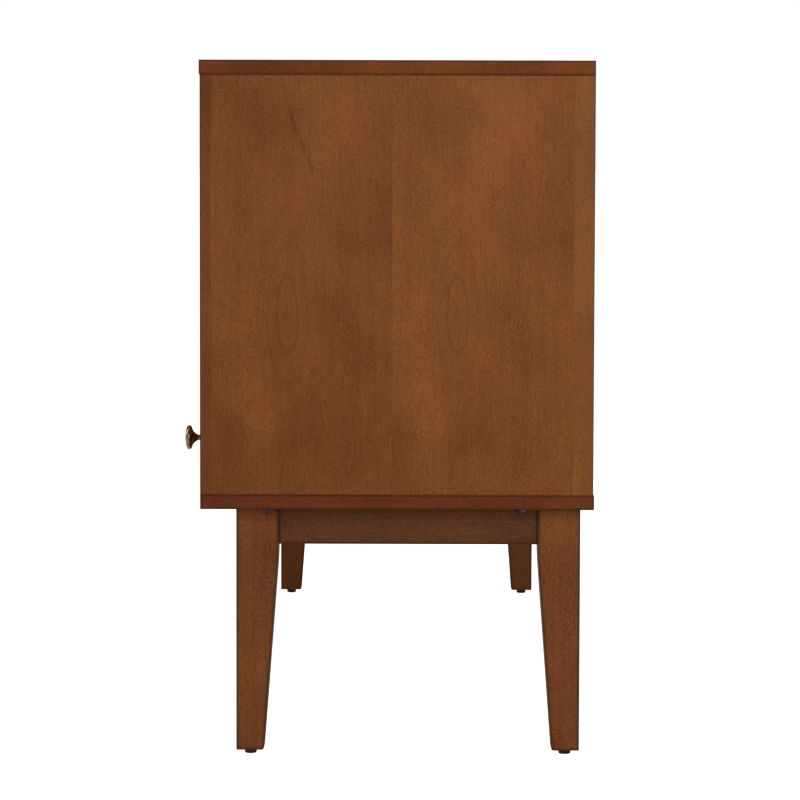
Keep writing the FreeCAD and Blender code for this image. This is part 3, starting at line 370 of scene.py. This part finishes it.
def matched_veneer(name, base, seed):
    """Two slip-matched leaves of upright veneer: the second repeats the figure of the first."""
    g = Graph(name)
    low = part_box("side_panel_right")[0]
    x, y, z = g.split(g.coords)
    depth = g.minus(y, low.y)
    rise = g.minus(z, low.z)
    along = g.over(depth, LEAF_WIDTH)
    leaf = g.math("FLOOR", along)
    inside = g.times(g.minus(along, leaf), LEAF_WIDTH)
    place = g.plus(inside, g.times(leaf, LEAF_DRIFT))
    local = g.add("ShaderNodeCombineXYZ", {0: x, 1: place, 2: z}).outputs[0]
    colour, pores, streaks = wood_layers(g, local, "Z", seed, base, 1.25, 1.12, 0.13)

    wobble = g.noise(g.stretch((16.0, 16.0, 5.0), (seed, 0, 0), local), detail=3.0)
    colour = cathedral(g, colour, base, place, rise, wobble)
    colour = pale_ribbon(g, colour, place, rise, wobble)
    colour = mineral_streak(g, colour, base, depth, rise)

    # The second leaf is a little lighter, and a crisp line shows between them.
    second = g.math("GREATER_THAN", along, 1.0)
    colour = g.tinted(second, colour, SECOND_LEAF)
    seam = g.math("LESS_THAN", g.math("ABSOLUTE", g.minus(along, 1.0)), 0.0016)
    colour = g.mix(g.times(seam, 0.18), colour, scaled(base, 0.55))
    return satin(g, joint_shadow_lines(g, colour, base), pores, streaks, seed)


def fibre_board(name, base, seed):
    """Brown hardboard: short matted fibres in every direction."""
    g = Graph(name)
    fibres = g.noise(g.stretch((260.0, 260.0, 260.0), (seed, 0, 0)), detail=4.0, distortion=1.5)
    mats = g.noise(g.stretch((900.0, 900.0, 900.0), (0, seed, 0)), detail=2.0)
    clouds = g.noise(g.stretch((5.0, 5.0, 5.0), (0, 0, seed)), detail=3.0)
    value = g.plus(0.5, g.centred(fibres, 0.7), g.centred(mats, 0.5), g.centred(clouds, 0.4))
    colour = g.ramp(value, (0.0, scaled(base, 0.55)), (0.5, base), (1.0, scaled(base, 1.5)))
    g.bump(fibres, 0.2, 0.2 * MM)
    return g.finish(Base_Color=colour, Roughness=g.plus(0.72, g.centred(mats, 0.15)))


# ---------------------------------------------------------------------------------------------
# Metal and plastic.

def worn_metal(name, base, bright, dark, seed, rough):
    """Metal with a mottled patina, rubbed brighter here and there."""
    g = Graph(name)
    cloud = g.noise(g.stretch((120.0, 120.0, 120.0), (seed, seed, seed)), detail=4.0)
    fine = g.noise(g.stretch((900.0, 900.0, 900.0), (seed, 0, seed)), detail=3.0)
    value = g.plus(0.5, g.centred(cloud, 1.3), g.centred(fine, 0.5))
    colour = g.ramp(value, (0.0, linear(*dark)), (0.5, linear(*base)), (1.0, linear(*bright)))
    roughness = g.plus(rough, g.centred(cloud, 0.20), g.centred(fine, 0.16))
    g.bump(fine, 0.10, 0.1 * MM)
    return g.finish(Base_Color=colour, Roughness=roughness, Metallic=1.0)


def moulded(name, base, seed, rough, fleck=0.25):
    """Moulded plastic or rubber with a fine skin texture."""
    g = Graph(name)
    skin = g.noise(g.stretch((1500.0, 1500.0, 1500.0), (seed, seed, 0)), detail=2.0)
    cloud = g.noise(g.stretch((60.0, 60.0, 60.0), (0, seed, seed)), detail=3.0)
    value = g.plus(0.5, g.centred(skin, fleck), g.centred(cloud, fleck))
    colour = g.ramp(value, (0.0, scaled(base, 0.55)), (0.5, base), (1.0, scaled(base, 1.5)))
    g.bump(skin, 0.15, 0.1 * MM)
    return g.finish(Base_Color=colour, Roughness=g.plus(rough, g.centred(cloud, 0.15)),
                    Specular_IOR_Level=0.3)


# ---------------------------------------------------------------------------------------------
# The materials of this cabinet. Light is lower under the case, so its woods allow for that.

BASE_LIGHT = 1.30
APRON_LIGHT = 1.13
BOTTOM_BAND_LIGHT = 1.2
TOP_BAND_SEAM = 176.9 * MM
FRONT_REACH = 2.4 * MM
APRON = wood_tone(87, 52, 31, APRON_LIGHT)
INSIDE = wood_tone(112, 70, 44)

MATERIALS = {
    "side_veneer": matched_veneer("side_veneer", wood_tone(118, 68, 35), 1.0),
    "front_strip_veneer": edge_strip("front_strip_veneer", wood_tone(106, 61, 33), 7.0),
    "rear_strip_veneer": edge_strip("rear_strip_veneer", wood_tone(126, 75, 39), 9.0),
    "panel_veneer": banded_board("panel_veneer", wood_tone(117, 69, 37), wood_tone(106, 54, 25),
                                 3.0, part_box("top_panel")[0].y + TOP_BAND_SEAM),
    "bottom_veneer": banded_board("bottom_veneer", wood_tone(110, 62, 34),
                                  wood_tone(95, 47, 27, BOTTOM_BAND_LIGHT), 5.0),
    "leg_wood": plain_wood("leg_wood", wood_tone(116, 67, 36, BASE_LIGHT), "Z", 11.0, 1.6, 1.1),
    "apron_wood_side": plain_wood("apron_wood_side", APRON, "Y", 13.0, 1.7),
    "apron_wood_long": plain_wood("apron_wood_long", APRON, "X", 15.0, 1.7),
    "door_veneer": plain_wood("door_veneer", wood_tone(118, 69, 36), "Z", 17.0,
                              reach=FRONT_REACH),
    "rear_door_veneer": plain_wood("rear_door_veneer", wood_tone(116, 68, 36), "Z", 19.0,
                                   reach=FRONT_REACH),
    "drawer_front_veneer": plain_wood("drawer_front_veneer", wood_tone(117, 68, 36), "X", 21.0,
                                      reach=FRONT_REACH),
    "inside_veneer": plain_wood("inside_veneer", INSIDE, "X", 23.0, rough=0.55),
    "divider_veneer": plain_wood("divider_veneer", INSIDE, "Z", 24.0, rough=0.55),
    "back_board": fibre_board("back_board", linear(96, 64, 42), 25.0),
    "plain_hardwood": plain_wood("plain_hardwood", linear(182, 143, 102), "X", 27.0, 0.8, 0.6,
                                 rough=0.65),
    "drawer_box_wood": plain_wood("drawer_box_wood", linear(196, 166, 128), "X", 29.0, 0.6, 0.5,
                                  rough=0.5, coat=0.05),
    "antique_brass": worn_metal("antique_brass", (130, 108, 86), (192, 170, 144),
                                (74, 57, 43), 31.0, 0.25),
    "dark_steel": worn_metal("dark_steel", (52, 46, 50), (86, 78, 82), (26, 22, 25), 33.0, 0.42),
    "zinc_steel": worn_metal("zinc_steel", (186, 186, 182), (214, 214, 212),
                             (140, 140, 138), 35.0, 0.36),
    "slide_steel": worn_metal("slide_steel", (190, 192, 194), (212, 214, 216),
                              (150, 152, 154), 37.0, 0.33),
    "track_aluminium": worn_metal("track_aluminium", (88, 66, 50), (112, 88, 70),
                                  (62, 46, 36), 39.0, 0.40),
    "black_plastic": moulded("black_plastic", linear(9, 8, 8), 41.0, 0.55),
    "black_rubber": moulded("black_rubber", linear(34, 33, 33), 43.0, 0.75),
    "nylon": moulded("nylon", linear(58, 42, 32), 45.0, 0.42, 0.1),
}

# Nodes whose grain direction or tone differs from the material of their slot.
LOOK = {
    "side_panel_left": "side_veneer", "side_panel_right": "side_veneer",
    "front_edge_strips": "front_strip_veneer", "rear_edge_strips": "rear_strip_veneer",
    "top_panel": "panel_veneer", "bottom_panel": "bottom_veneer",
    "leg_front_left": "leg_wood", "leg_front_right": "leg_wood",
    "leg_rear_left": "leg_wood", "leg_rear_right": "leg_wood",
    "apron_left": "apron_wood_side", "apron_right": "apron_wood_side",
    "apron_front": "apron_wood_long", "apron_rear": "apron_wood_long",
    "door_deck": "inside_veneer", "shelf_left": "inside_veneer", "shelf_right": "inside_veneer",
    "drawer_divider": "divider_veneer", "upper_divider": "divider_veneer",
    "back_panel": "back_board",
    "door_front_panel": "door_veneer", "door_front_stile": "door_veneer",
    "door_rear_panel": "rear_door_veneer", "door_rear_stile": "rear_door_veneer",
}


# ---------------------------------------------------------------------------------------------
# CAD pieces: a material each, and a softened edge on every board.

FLUSH = ("side_panel_left", "side_panel_right", "front_edge_strips", "rear_edge_strips")
PLAIN_EDGES = ("wood_dowels", "barrel_nuts", "frame_screws", "shelf_pins", "door_bumpers",
               "slide_outer_members", "drawer_left_middle_slides", "drawer_right_middle_slides",
               "drawer_left_inner_slides", "drawer_right_inner_slides")
BOARD_ROUND = 0.6 * MM
FLUSH_ROUND = 0.12 * MM
LEG_ROUND = 1.0 * MM
WELD_GAP = 0.01 * MM


def edge_round(node):
    """How far the edges of a piece are rounded. The flush strips keep a tight edge."""
    if node in FLUSH:
        return FLUSH_ROUND
    if node.startswith("leg_"):
        return LEG_ROUND
    return BOARD_ROUND


def soften(thing, width):
    """Join the flat faces of a CAD piece, round its edges, and shade it by its large faces."""
    planes = thing.modifiers.new("planes", "DECIMATE")
    planes.decimate_type = "DISSOLVE"
    planes.angle_limit = math.radians(0.2)
    edge = thing.modifiers.new("edge", "BEVEL")
    edge.width = width
    edge.segments = 3
    edge.limit_method = "ANGLE"
    edge.angle_limit = math.radians(38)
    edge.use_clamp_overlap = True
    flat = thing.modifiers.new("flat", "WEIGHTED_NORMAL")
    flat.mode = "FACE_AREA"
    flat.weight = 100
    flat.keep_sharp = True


for name, thing in NODES.items():
    thing.data.materials.clear()
    thing.data.materials.append(MATERIALS[LOOK.get(name, SLOTS[name])])
    for polygon in thing.data.polygons:
        polygon.material_index = 0
    weld = thing.modifiers.new("weld", "WELD")
    weld.merge_threshold = WELD_GAP
    if name not in PLAIN_EDGES:
        soften(thing, edge_round(name))


# ---------------------------------------------------------------------------------------------
# Mesh code for the pieces that take the place of plain CAD ones.

def islands(node):
    """The separate solids of a CAD node, each as (lowest corner, highest corner, points)."""
    mesh = NODES[node].data
    parent = {}

    def root(key):
        while parent[key] != key:
            parent[key] = parent[parent[key]]
            key = parent[key]
        return key

    keys = [tuple(round(c, 6) for c in vertex.co) for vertex in mesh.vertices]
    for key in keys:
        parent.setdefault(key, key)
    for edge in mesh.edges:
        first, second = root(keys[edge.vertices[0]]), root(keys[edge.vertices[1]])
        if first != second:
            parent[first] = second
    groups = {}
    for key in parent:
        groups.setdefault(root(key), []).append(Vector(key))
    result = []
    for points in groups.values():
        low = Vector(min(p[i] for p in points) for i in range(3))
        high = Vector(max(p[i] for p in points) for i in range(3))
        result.append((low, high, points))
    return sorted(result, key=lambda item: tuple(round(c, 4) for c in item[0]))


def in_metres(profile):
    """A profile of (radius, height) pairs in millimetres, in metres."""
    return [(max(0.0, radius) * MM, height * MM) for radius, height in profile]


def arc(centre, radius, start, end, steps):
    """Points of a circle in the profile plane, angles in degrees."""
    points = []
    for step in range(steps + 1):
        angle = math.radians(start + (end - start) * step / steps)
        points.append((centre[0] + radius * math.cos(angle), centre[1] + radius * math.sin(angle)))
    return points


def turned(bm, profile, transform, segments=72):
    """Revolve a profile of (radius, height) pairs about the z axis of a transform."""
    rings = []
    for radius, height in profile:
        if radius < 1e-6:
            rings.append([bm.verts.new(transform @ Vector((0, 0, height)))])
            continue
        ring = []
        for step in range(segments):
            angle = 2 * math.pi * step / segments
            point = Vector((radius * math.cos(angle), radius * math.sin(angle), height))
            ring.append(bm.verts.new(transform @ point))
        rings.append(ring)
    for lower, upper in zip(rings, rings[1:]):
        for step in range(segments):
            after = (step + 1) % segments
            corners = [lower[step % len(lower)], lower[after % len(lower)],
                       upper[after % len(upper)], upper[step % len(upper)]]
            unique = []
            for corner in corners:
                if corner not in unique:
                    unique.append(corner)
            bm.faces.new(unique)


def facing(place, direction):
    """A transform that puts the z axis along a direction at a place."""
    turn = Vector((0, 0, 1)).rotation_difference(Vector(direction))
    return Matrix.Translation(place) @ turn.to_matrix().to_4x4()


def scene_object(name, mesh):
    thing = bpy.data.objects.new(name, mesh)
    bpy.context.scene.collection.objects.link(thing)
    return thing


def mesh_of(name, bm):
    mesh = bpy.data.meshes.new(name)
    bm.to_mesh(mesh)
    bm.free()
    return mesh


def piece(name, bm, look, body, node):
    """Make an object from mesh code, let it ride on a body and stand for a CAD node."""
    bmesh.ops.recalc_face_normals(bm, faces=bm.faces)
    mesh = mesh_of(name, bm)
    thing = scene_object(name, mesh)
    mesh.materials.append(MATERIALS[look])
    for polygon in mesh.polygons:
        polygon.use_smooth = True
    mesh.set_sharp_from_angle(angle=math.radians(35))
    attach(thing, body)
    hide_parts(node)


# ---------------------------------------------------------------------------------------------
# Knobs and glides, turned. The numbers of a profile are millimetres.

KNOB_OUT = 27.2
KNOB_STUD = 12.0
DOME_RADIUS = 11.63
DOME_RISE = 1.61


def knob_profile():
    """Foot, slim neck, hollow flare, thick rounded rim and shallow dome, from stud to dome."""
    points = [(0, -KNOB_STUD), (1.6, -KNOB_STUD), (2.0, 0.5 - KNOB_STUD), (2.0, 0)]
    points += [(8.1, 0), (8.5, 0.4), (8.5, 1.5)] + arc((8.0, 1.5), 0.5, 0, 80, 4)[1:]
    points += [(7.4, 2.25)] + arc((9.9, 8.7), 6.75, -110, -180, 14)
    points += [(3.15, 11.8)] + arc((13.77, 8.44), 11.14, 162.4, 104.9, 22)[1:]
    points += arc((10.8, 22.5), 3.2, -78, 75, 18)
    sphere = (DOME_RADIUS ** 2 + DOME_RISE ** 2) / (2 * DOME_RISE)
    points += arc((0, KNOB_OUT - sphere), sphere, 74.2, 90, 20)[1:-1]
    points += [(0, KNOB_OUT)]
    return in_metres(points)


def glide_profile():
    """A disc with a shallow dish below, a rounded edge, and a nail."""
    points = [(0, 0.25), (3.8, 0.25), (4.2, 0.0), (5.2, 0.0)] + arc((5.2, 1.5), 1.5, -90, -8, 6)[1:]
    points += [(7.0, 5.0)] + arc((6.5, 5.0), 0.5, 0, 90, 4)[1:]
    points += [(1.5, 5.5), (1.5, 18.1), (0, 19.5)]
    return in_metres(points)


def make_knobs(side):
    node = "drawer_%s_knobs" % side
    bm = bmesh.new()
    for low, high, points in islands(node):
        place = Vector(((low.x + high.x) / 2, low.y + KNOB_OUT * MM, (low.z + high.z) / 2))
        turned(bm, knob_profile(), facing(place, (0, -1, 0)), 96)
    piece(node + "_turned", bm, "antique_brass", side + "_drawer", node)


def make_glides():
    bm = bmesh.new()
    for low, high, points in islands("foot_glides"):
        place = Vector(((low.x + high.x) / 2, (low.y + high.y) / 2, low.z))
        turned(bm, glide_profile(), Matrix.Translation(place), 48)
    piece("foot_glides_moulded", bm, "black_plastic", "cabinet", "foot_glides")


make_knobs("left")
make_knobs("right")
make_glides()


# ---------------------------------------------------------------------------------------------
# Screws and bolts: one finished mesh of each kind, copied to every place of its node.

def cut_master(name, profile, cutters, segments=40):
    """A turned shape with drive recesses cut into it, as a finished mesh."""
    bm = bmesh.new()
    turned(bm, profile, Matrix.Identity(4), segments)
    bmesh.ops.recalc_face_normals(bm, faces=bm.faces)
    thing = scene_object(name + "_blank", mesh_of(name + "_blank", bm))
    tool = scene_object(name + "_tool", mesh_of(name + "_tool", cutters))
    cut = thing.modifiers.new("recess", "BOOLEAN")
    cut.object = tool
    cut.operation = "DIFFERENCE"
    cut.solver = "EXACT"
    bpy.context.view_layer.update()
    solved = thing.evaluated_get(bpy.context.evaluated_depsgraph_get())
    result = bpy.data.meshes.new_from_object(solved)
    result.name = name
    bpy.data.objects.remove(thing)
    bpy.data.objects.remove(tool)
    return result


def prism(bm, sides, radius, low, high, narrow=1.0, stretch=(1.0, 1.0)):
    """A prism along z with a regular outline, narrower at its low end."""
    rings = []
    for height, factor in ((low, narrow), (high, 1.0)):
        ring = []
        for step in range(sides):
            angle = 2 * math.pi * (step + 0.5) / sides
            ring.append(bm.verts.new((radius * factor * stretch[0] * math.cos(angle),
                                      radius * factor * stretch[1] * math.sin(angle), height)))
        rings.append(ring)
    bm.faces.new(list(reversed(rings[0])))
    bm.faces.new(rings[1])
    for step in range(sides):
        after = (step + 1) % sides
        bm.faces.new((rings[0][step], rings[0][after], rings[1][after], rings[1][step]))


def cross_cutter(reach, width, low, high):
    """A tapered cross for a screwdriver."""
    bm = bmesh.new()
    for stretch in ((1.0, width / reach), (width / reach, 1.0)):
        prism(bm, 4, reach * math.sqrt(2), low, high, 0.55, stretch)
    return bm


def hex_cutter(radius, low, high):
    bm = bmesh.new()
    prism(bm, 6, radius, low, high)
    return bm


TIP = 3 * MM
THREAD_PITCH = 1.4 * MM
THREAD_ROOT = 0.82


def screw_master(name, head_radius, head_height, shank_radius, length):
    """A pan-head screw with its head along +z and the underside of the head at z = 0."""
    profile = [(0, -length), (shank_radius * 0.4, 1.2 * MM - length), (shank_radius, TIP - length)]
    turns = max(4, int((length - 4 * MM) / THREAD_PITCH))
    pitch = (length - 1.5 * TIP) / turns
    for step in range(turns):
        profile.append((shank_radius * THREAD_ROOT, TIP - length + pitch * (step + 0.35)))
        profile.append((shank_radius, TIP - length + pitch * (step + 1)))
    profile += [(shank_radius, 0.0), (head_radius * 0.97, 0.0), (head_radius, head_height * 0.12)]
    profile += arc((head_radius * 0.72, head_height * 0.45), head_radius * 0.28, 0, 75, 6)
    profile += [(head_radius * 0.4, head_height * 0.97), (0, head_height)]
    cutter = cross_cutter(head_radius * 0.5, head_radius * 0.13, head_height * 0.3,
                          head_height * 1.3)
    return cut_master(name, profile, cutter)


def bolt_master():
    """A low round-headed bolt with a hexagon socket; its profile is in millimetres."""
    profile = [(0, -50.0), (2.6, -50.0), (3.0, -49.5), (3.0, 0), (7.0, 0), (7.25, 0.3), (7.25, 1.4)]
    profile += arc((4.75, 1.4), 2.5, 0, 70, 8)[1:]
    profile += [(4.2, 3.95), (3.4, BOLT_HEAD / MM), (0, BOLT_HEAD / MM)]
    return cut_master("joint_bolt", in_metres(profile), hex_cutter(2.3 * MM, 1.2 * MM, 5.0 * MM), 48)


def screw_spots(node, head_height):
    """Where each screw of a node sits: the plane under its head, and the way its head faces."""
    spots = []
    for low, high, points in islands(node):
        size = high - low
        axis = max(range(3), key=lambda i: size[i])
        across = 1 if axis == 0 else 0
        middle = (low[across] + high[across]) / 2
        wide = {}
        for end, level in ((-1, low[axis]), (1, high[axis])):
            ring = [p for p in points if abs(p[axis] - level) < 1e-5]
            wide[end] = max(abs(p[across] - middle) for p in ring)
        end = max(wide, key=wide.get)
        place = (low + high) / 2
        place[axis] = (high[axis] if end > 0 else low[axis]) - end * head_height
        direction = [0, 0, 0]
        direction[axis] = end
        spots.append((place, direction))
    return spots


def fasten(node, master, head_height, look, body):
    """Put a copy of a finished fastener at every solid of its node."""
    bm = bmesh.new()
    for place, direction in screw_spots(node, head_height):
        start = len(bm.verts)
        bm.from_mesh(master)
        bm.verts.ensure_lookup_table()
        transform = facing(place, direction)
        for vertex in list(bm.verts)[start:]:
            vertex.co = transform @ vertex.co
    piece(node + "_cut", bm, look, body, node)


PAN_HEAD = 1.8 * MM
FRAME_HEAD = 2.5 * MM
BOLT_HEAD = 4.0 * MM
pan_screw = screw_master("pan_screw", 3.5 * MM, PAN_HEAD, 1.5 * MM, 14 * MM)
fasten("pan_head_screws", pan_screw, PAN_HEAD, "zinc_steel", "cabinet")
front_screw = screw_master("front_screw", 3.5 * MM, PAN_HEAD, 2.0 * MM, 24 * MM)
for side in ("left", "right"):
    fasten("drawer_%s_screws" % side, front_screw, PAN_HEAD, "zinc_steel", side + "_drawer")
frame_screw = screw_master("frame_screw", 4.0 * MM, FRAME_HEAD, 2.0 * MM, 32 * MM)
fasten("frame_screws", frame_screw, FRAME_HEAD, "zinc_steel", "cabinet")
fasten("joint_bolts", bolt_master(), BOLT_HEAD, "dark_steel", "cabinet")


# ---------------------------------------------------------------------------------------------
# Floor, light and camera.

WHITE = (1.0, 1.0, 1.0, 1.0)
FLOOR_HALF_SIZE = 150.0
FLOOR_GLOW = 0.30
WORLD_GLOW = 0.20


def make_floor():
    """A pale floor that the camera sees as white and that can be seen through from below."""
    bm = bmesh.new()
    bmesh.ops.create_grid(bm, x_segments=1, y_segments=1, size=FLOOR_HALF_SIZE)
    mesh = mesh_of("floor", bm)
    g = Graph("pale_floor")
    dust = g.noise(g.stretch((3.0, 3.0, 3.0)), detail=4.0)
    seen = g.add("ShaderNodeLightPath").outputs["Is Camera Ray"]
    above = g.minus(1.0, g.add("ShaderNodeNewGeometry").outputs["Backfacing"])
    grey = g.ramp(dust, (0.0, (0.72, 0.72, 0.72)), (1.0, (0.76, 0.76, 0.76)))
    mesh.materials.append(g.finish(
        Base_Color=grey, Roughness=0.9, Specular_IOR_Level=0.1, Emission_Color=WHITE,
        Emission_Strength=g.between(seen, 0.0, 1.0, FLOOR_GLOW, 1.0), Alpha=above))
    scene_object("floor", mesh)


def make_world():
    """A white surround for the camera, and a weak even glow for everything else."""
    world = bpy.data.worlds.new("studio")
    bpy.context.scene.world = world
    world.use_nodes = True
    tree = world.node_tree
    tree.nodes.clear()
    path = tree.nodes.new("ShaderNodeLightPath")
    choose = tree.nodes.new("ShaderNodeMixShader")
    end = tree.nodes.new("ShaderNodeOutputWorld")
    tree.links.new(path.outputs["Is Camera Ray"], choose.inputs[0])
    for socket, strength in ((1, WORLD_GLOW), (2, 1.0)):
        light = tree.nodes.new("ShaderNodeBackground")
        light.inputs["Color"].default_value = WHITE
        light.inputs["Strength"].default_value = strength
        tree.links.new(light.outputs[0], choose.inputs[socket])
    tree.links.new(choose.outputs[0], end.inputs["Surface"])


# Each soft box: where it hangs, what it points at, its size in metres and its power in watts.
SOFT_BOXES = {
    "key_box": ((3.6, 0.45, 1.4), (0.76, 0.0, 0.40), (1.8, 1.8), 68),
    "front_box": ((0.1, -3.2, 1.9), (0.3, -0.2, 0.4), (1.1, 2.4), 80),
    "overhead_box": ((0.2, 0.1, 4.0), (0.2, 0.1, 0.0), (3.6, 2.4), 50),
}


def make_light(name, place, target, size, power):
    light = bpy.data.lights.new(name, "AREA")
    light.shape = "RECTANGLE"
    light.size, light.size_y = size
    light.energy = power
    lamp = scene_object(name, light)
    lamp.location = place
    lamp.rotation_euler = (Vector(target) - Vector(place)).to_track_quat("-Z", "Y").to_euler()


CAMERA_PLACE = (4.6095, 0.0188, 0.6656)
CAMERA_YAW = -0.0006
CAMERA_PITCH = 0.0696
CAMERA_ROLL = 0.0028
FOCAL_LENGTH = 158.3
SENSOR_WIDTH = 36.0


def swung(first, second, angle):
    """Two axes after a turn that carries the first one towards the second."""
    return (math.cos(angle) * first + math.sin(angle) * second,
            math.cos(angle) * second - math.sin(angle) * first)


def make_camera():
    """A long lens that looks along -x at the right end of the cabinet, a little downwards."""
    forward, right, up = Vector((-1, 0, 0)), Vector((0, 1, 0)), Vector((0, 0, 1))
    forward, right = swung(forward, right, CAMERA_YAW)
    forward, up = swung(forward, up, -CAMERA_PITCH)
    right, up = swung(right, up, CAMERA_ROLL)
    lens = bpy.data.cameras.new("camera")
    lens.sensor_width = SENSOR_WIDTH
    lens.lens = FOCAL_LENGTH
    lens.clip_end = 200.0
    camera = scene_object("camera", lens)
    turn = Matrix((right, up, -forward)).transposed().to_4x4()
    camera.matrix_world = Matrix.Translation(CAMERA_PLACE) @ turn
    return camera


make_floor()
make_world()
for name, settings in SOFT_BOXES.items():
    make_light(name, *settings)
bpy.context.scene.camera = make_camera()
bpy.context.scene.view_settings.view_transform = "Standard"
bpy.context.scene.view_settings.look = "None"
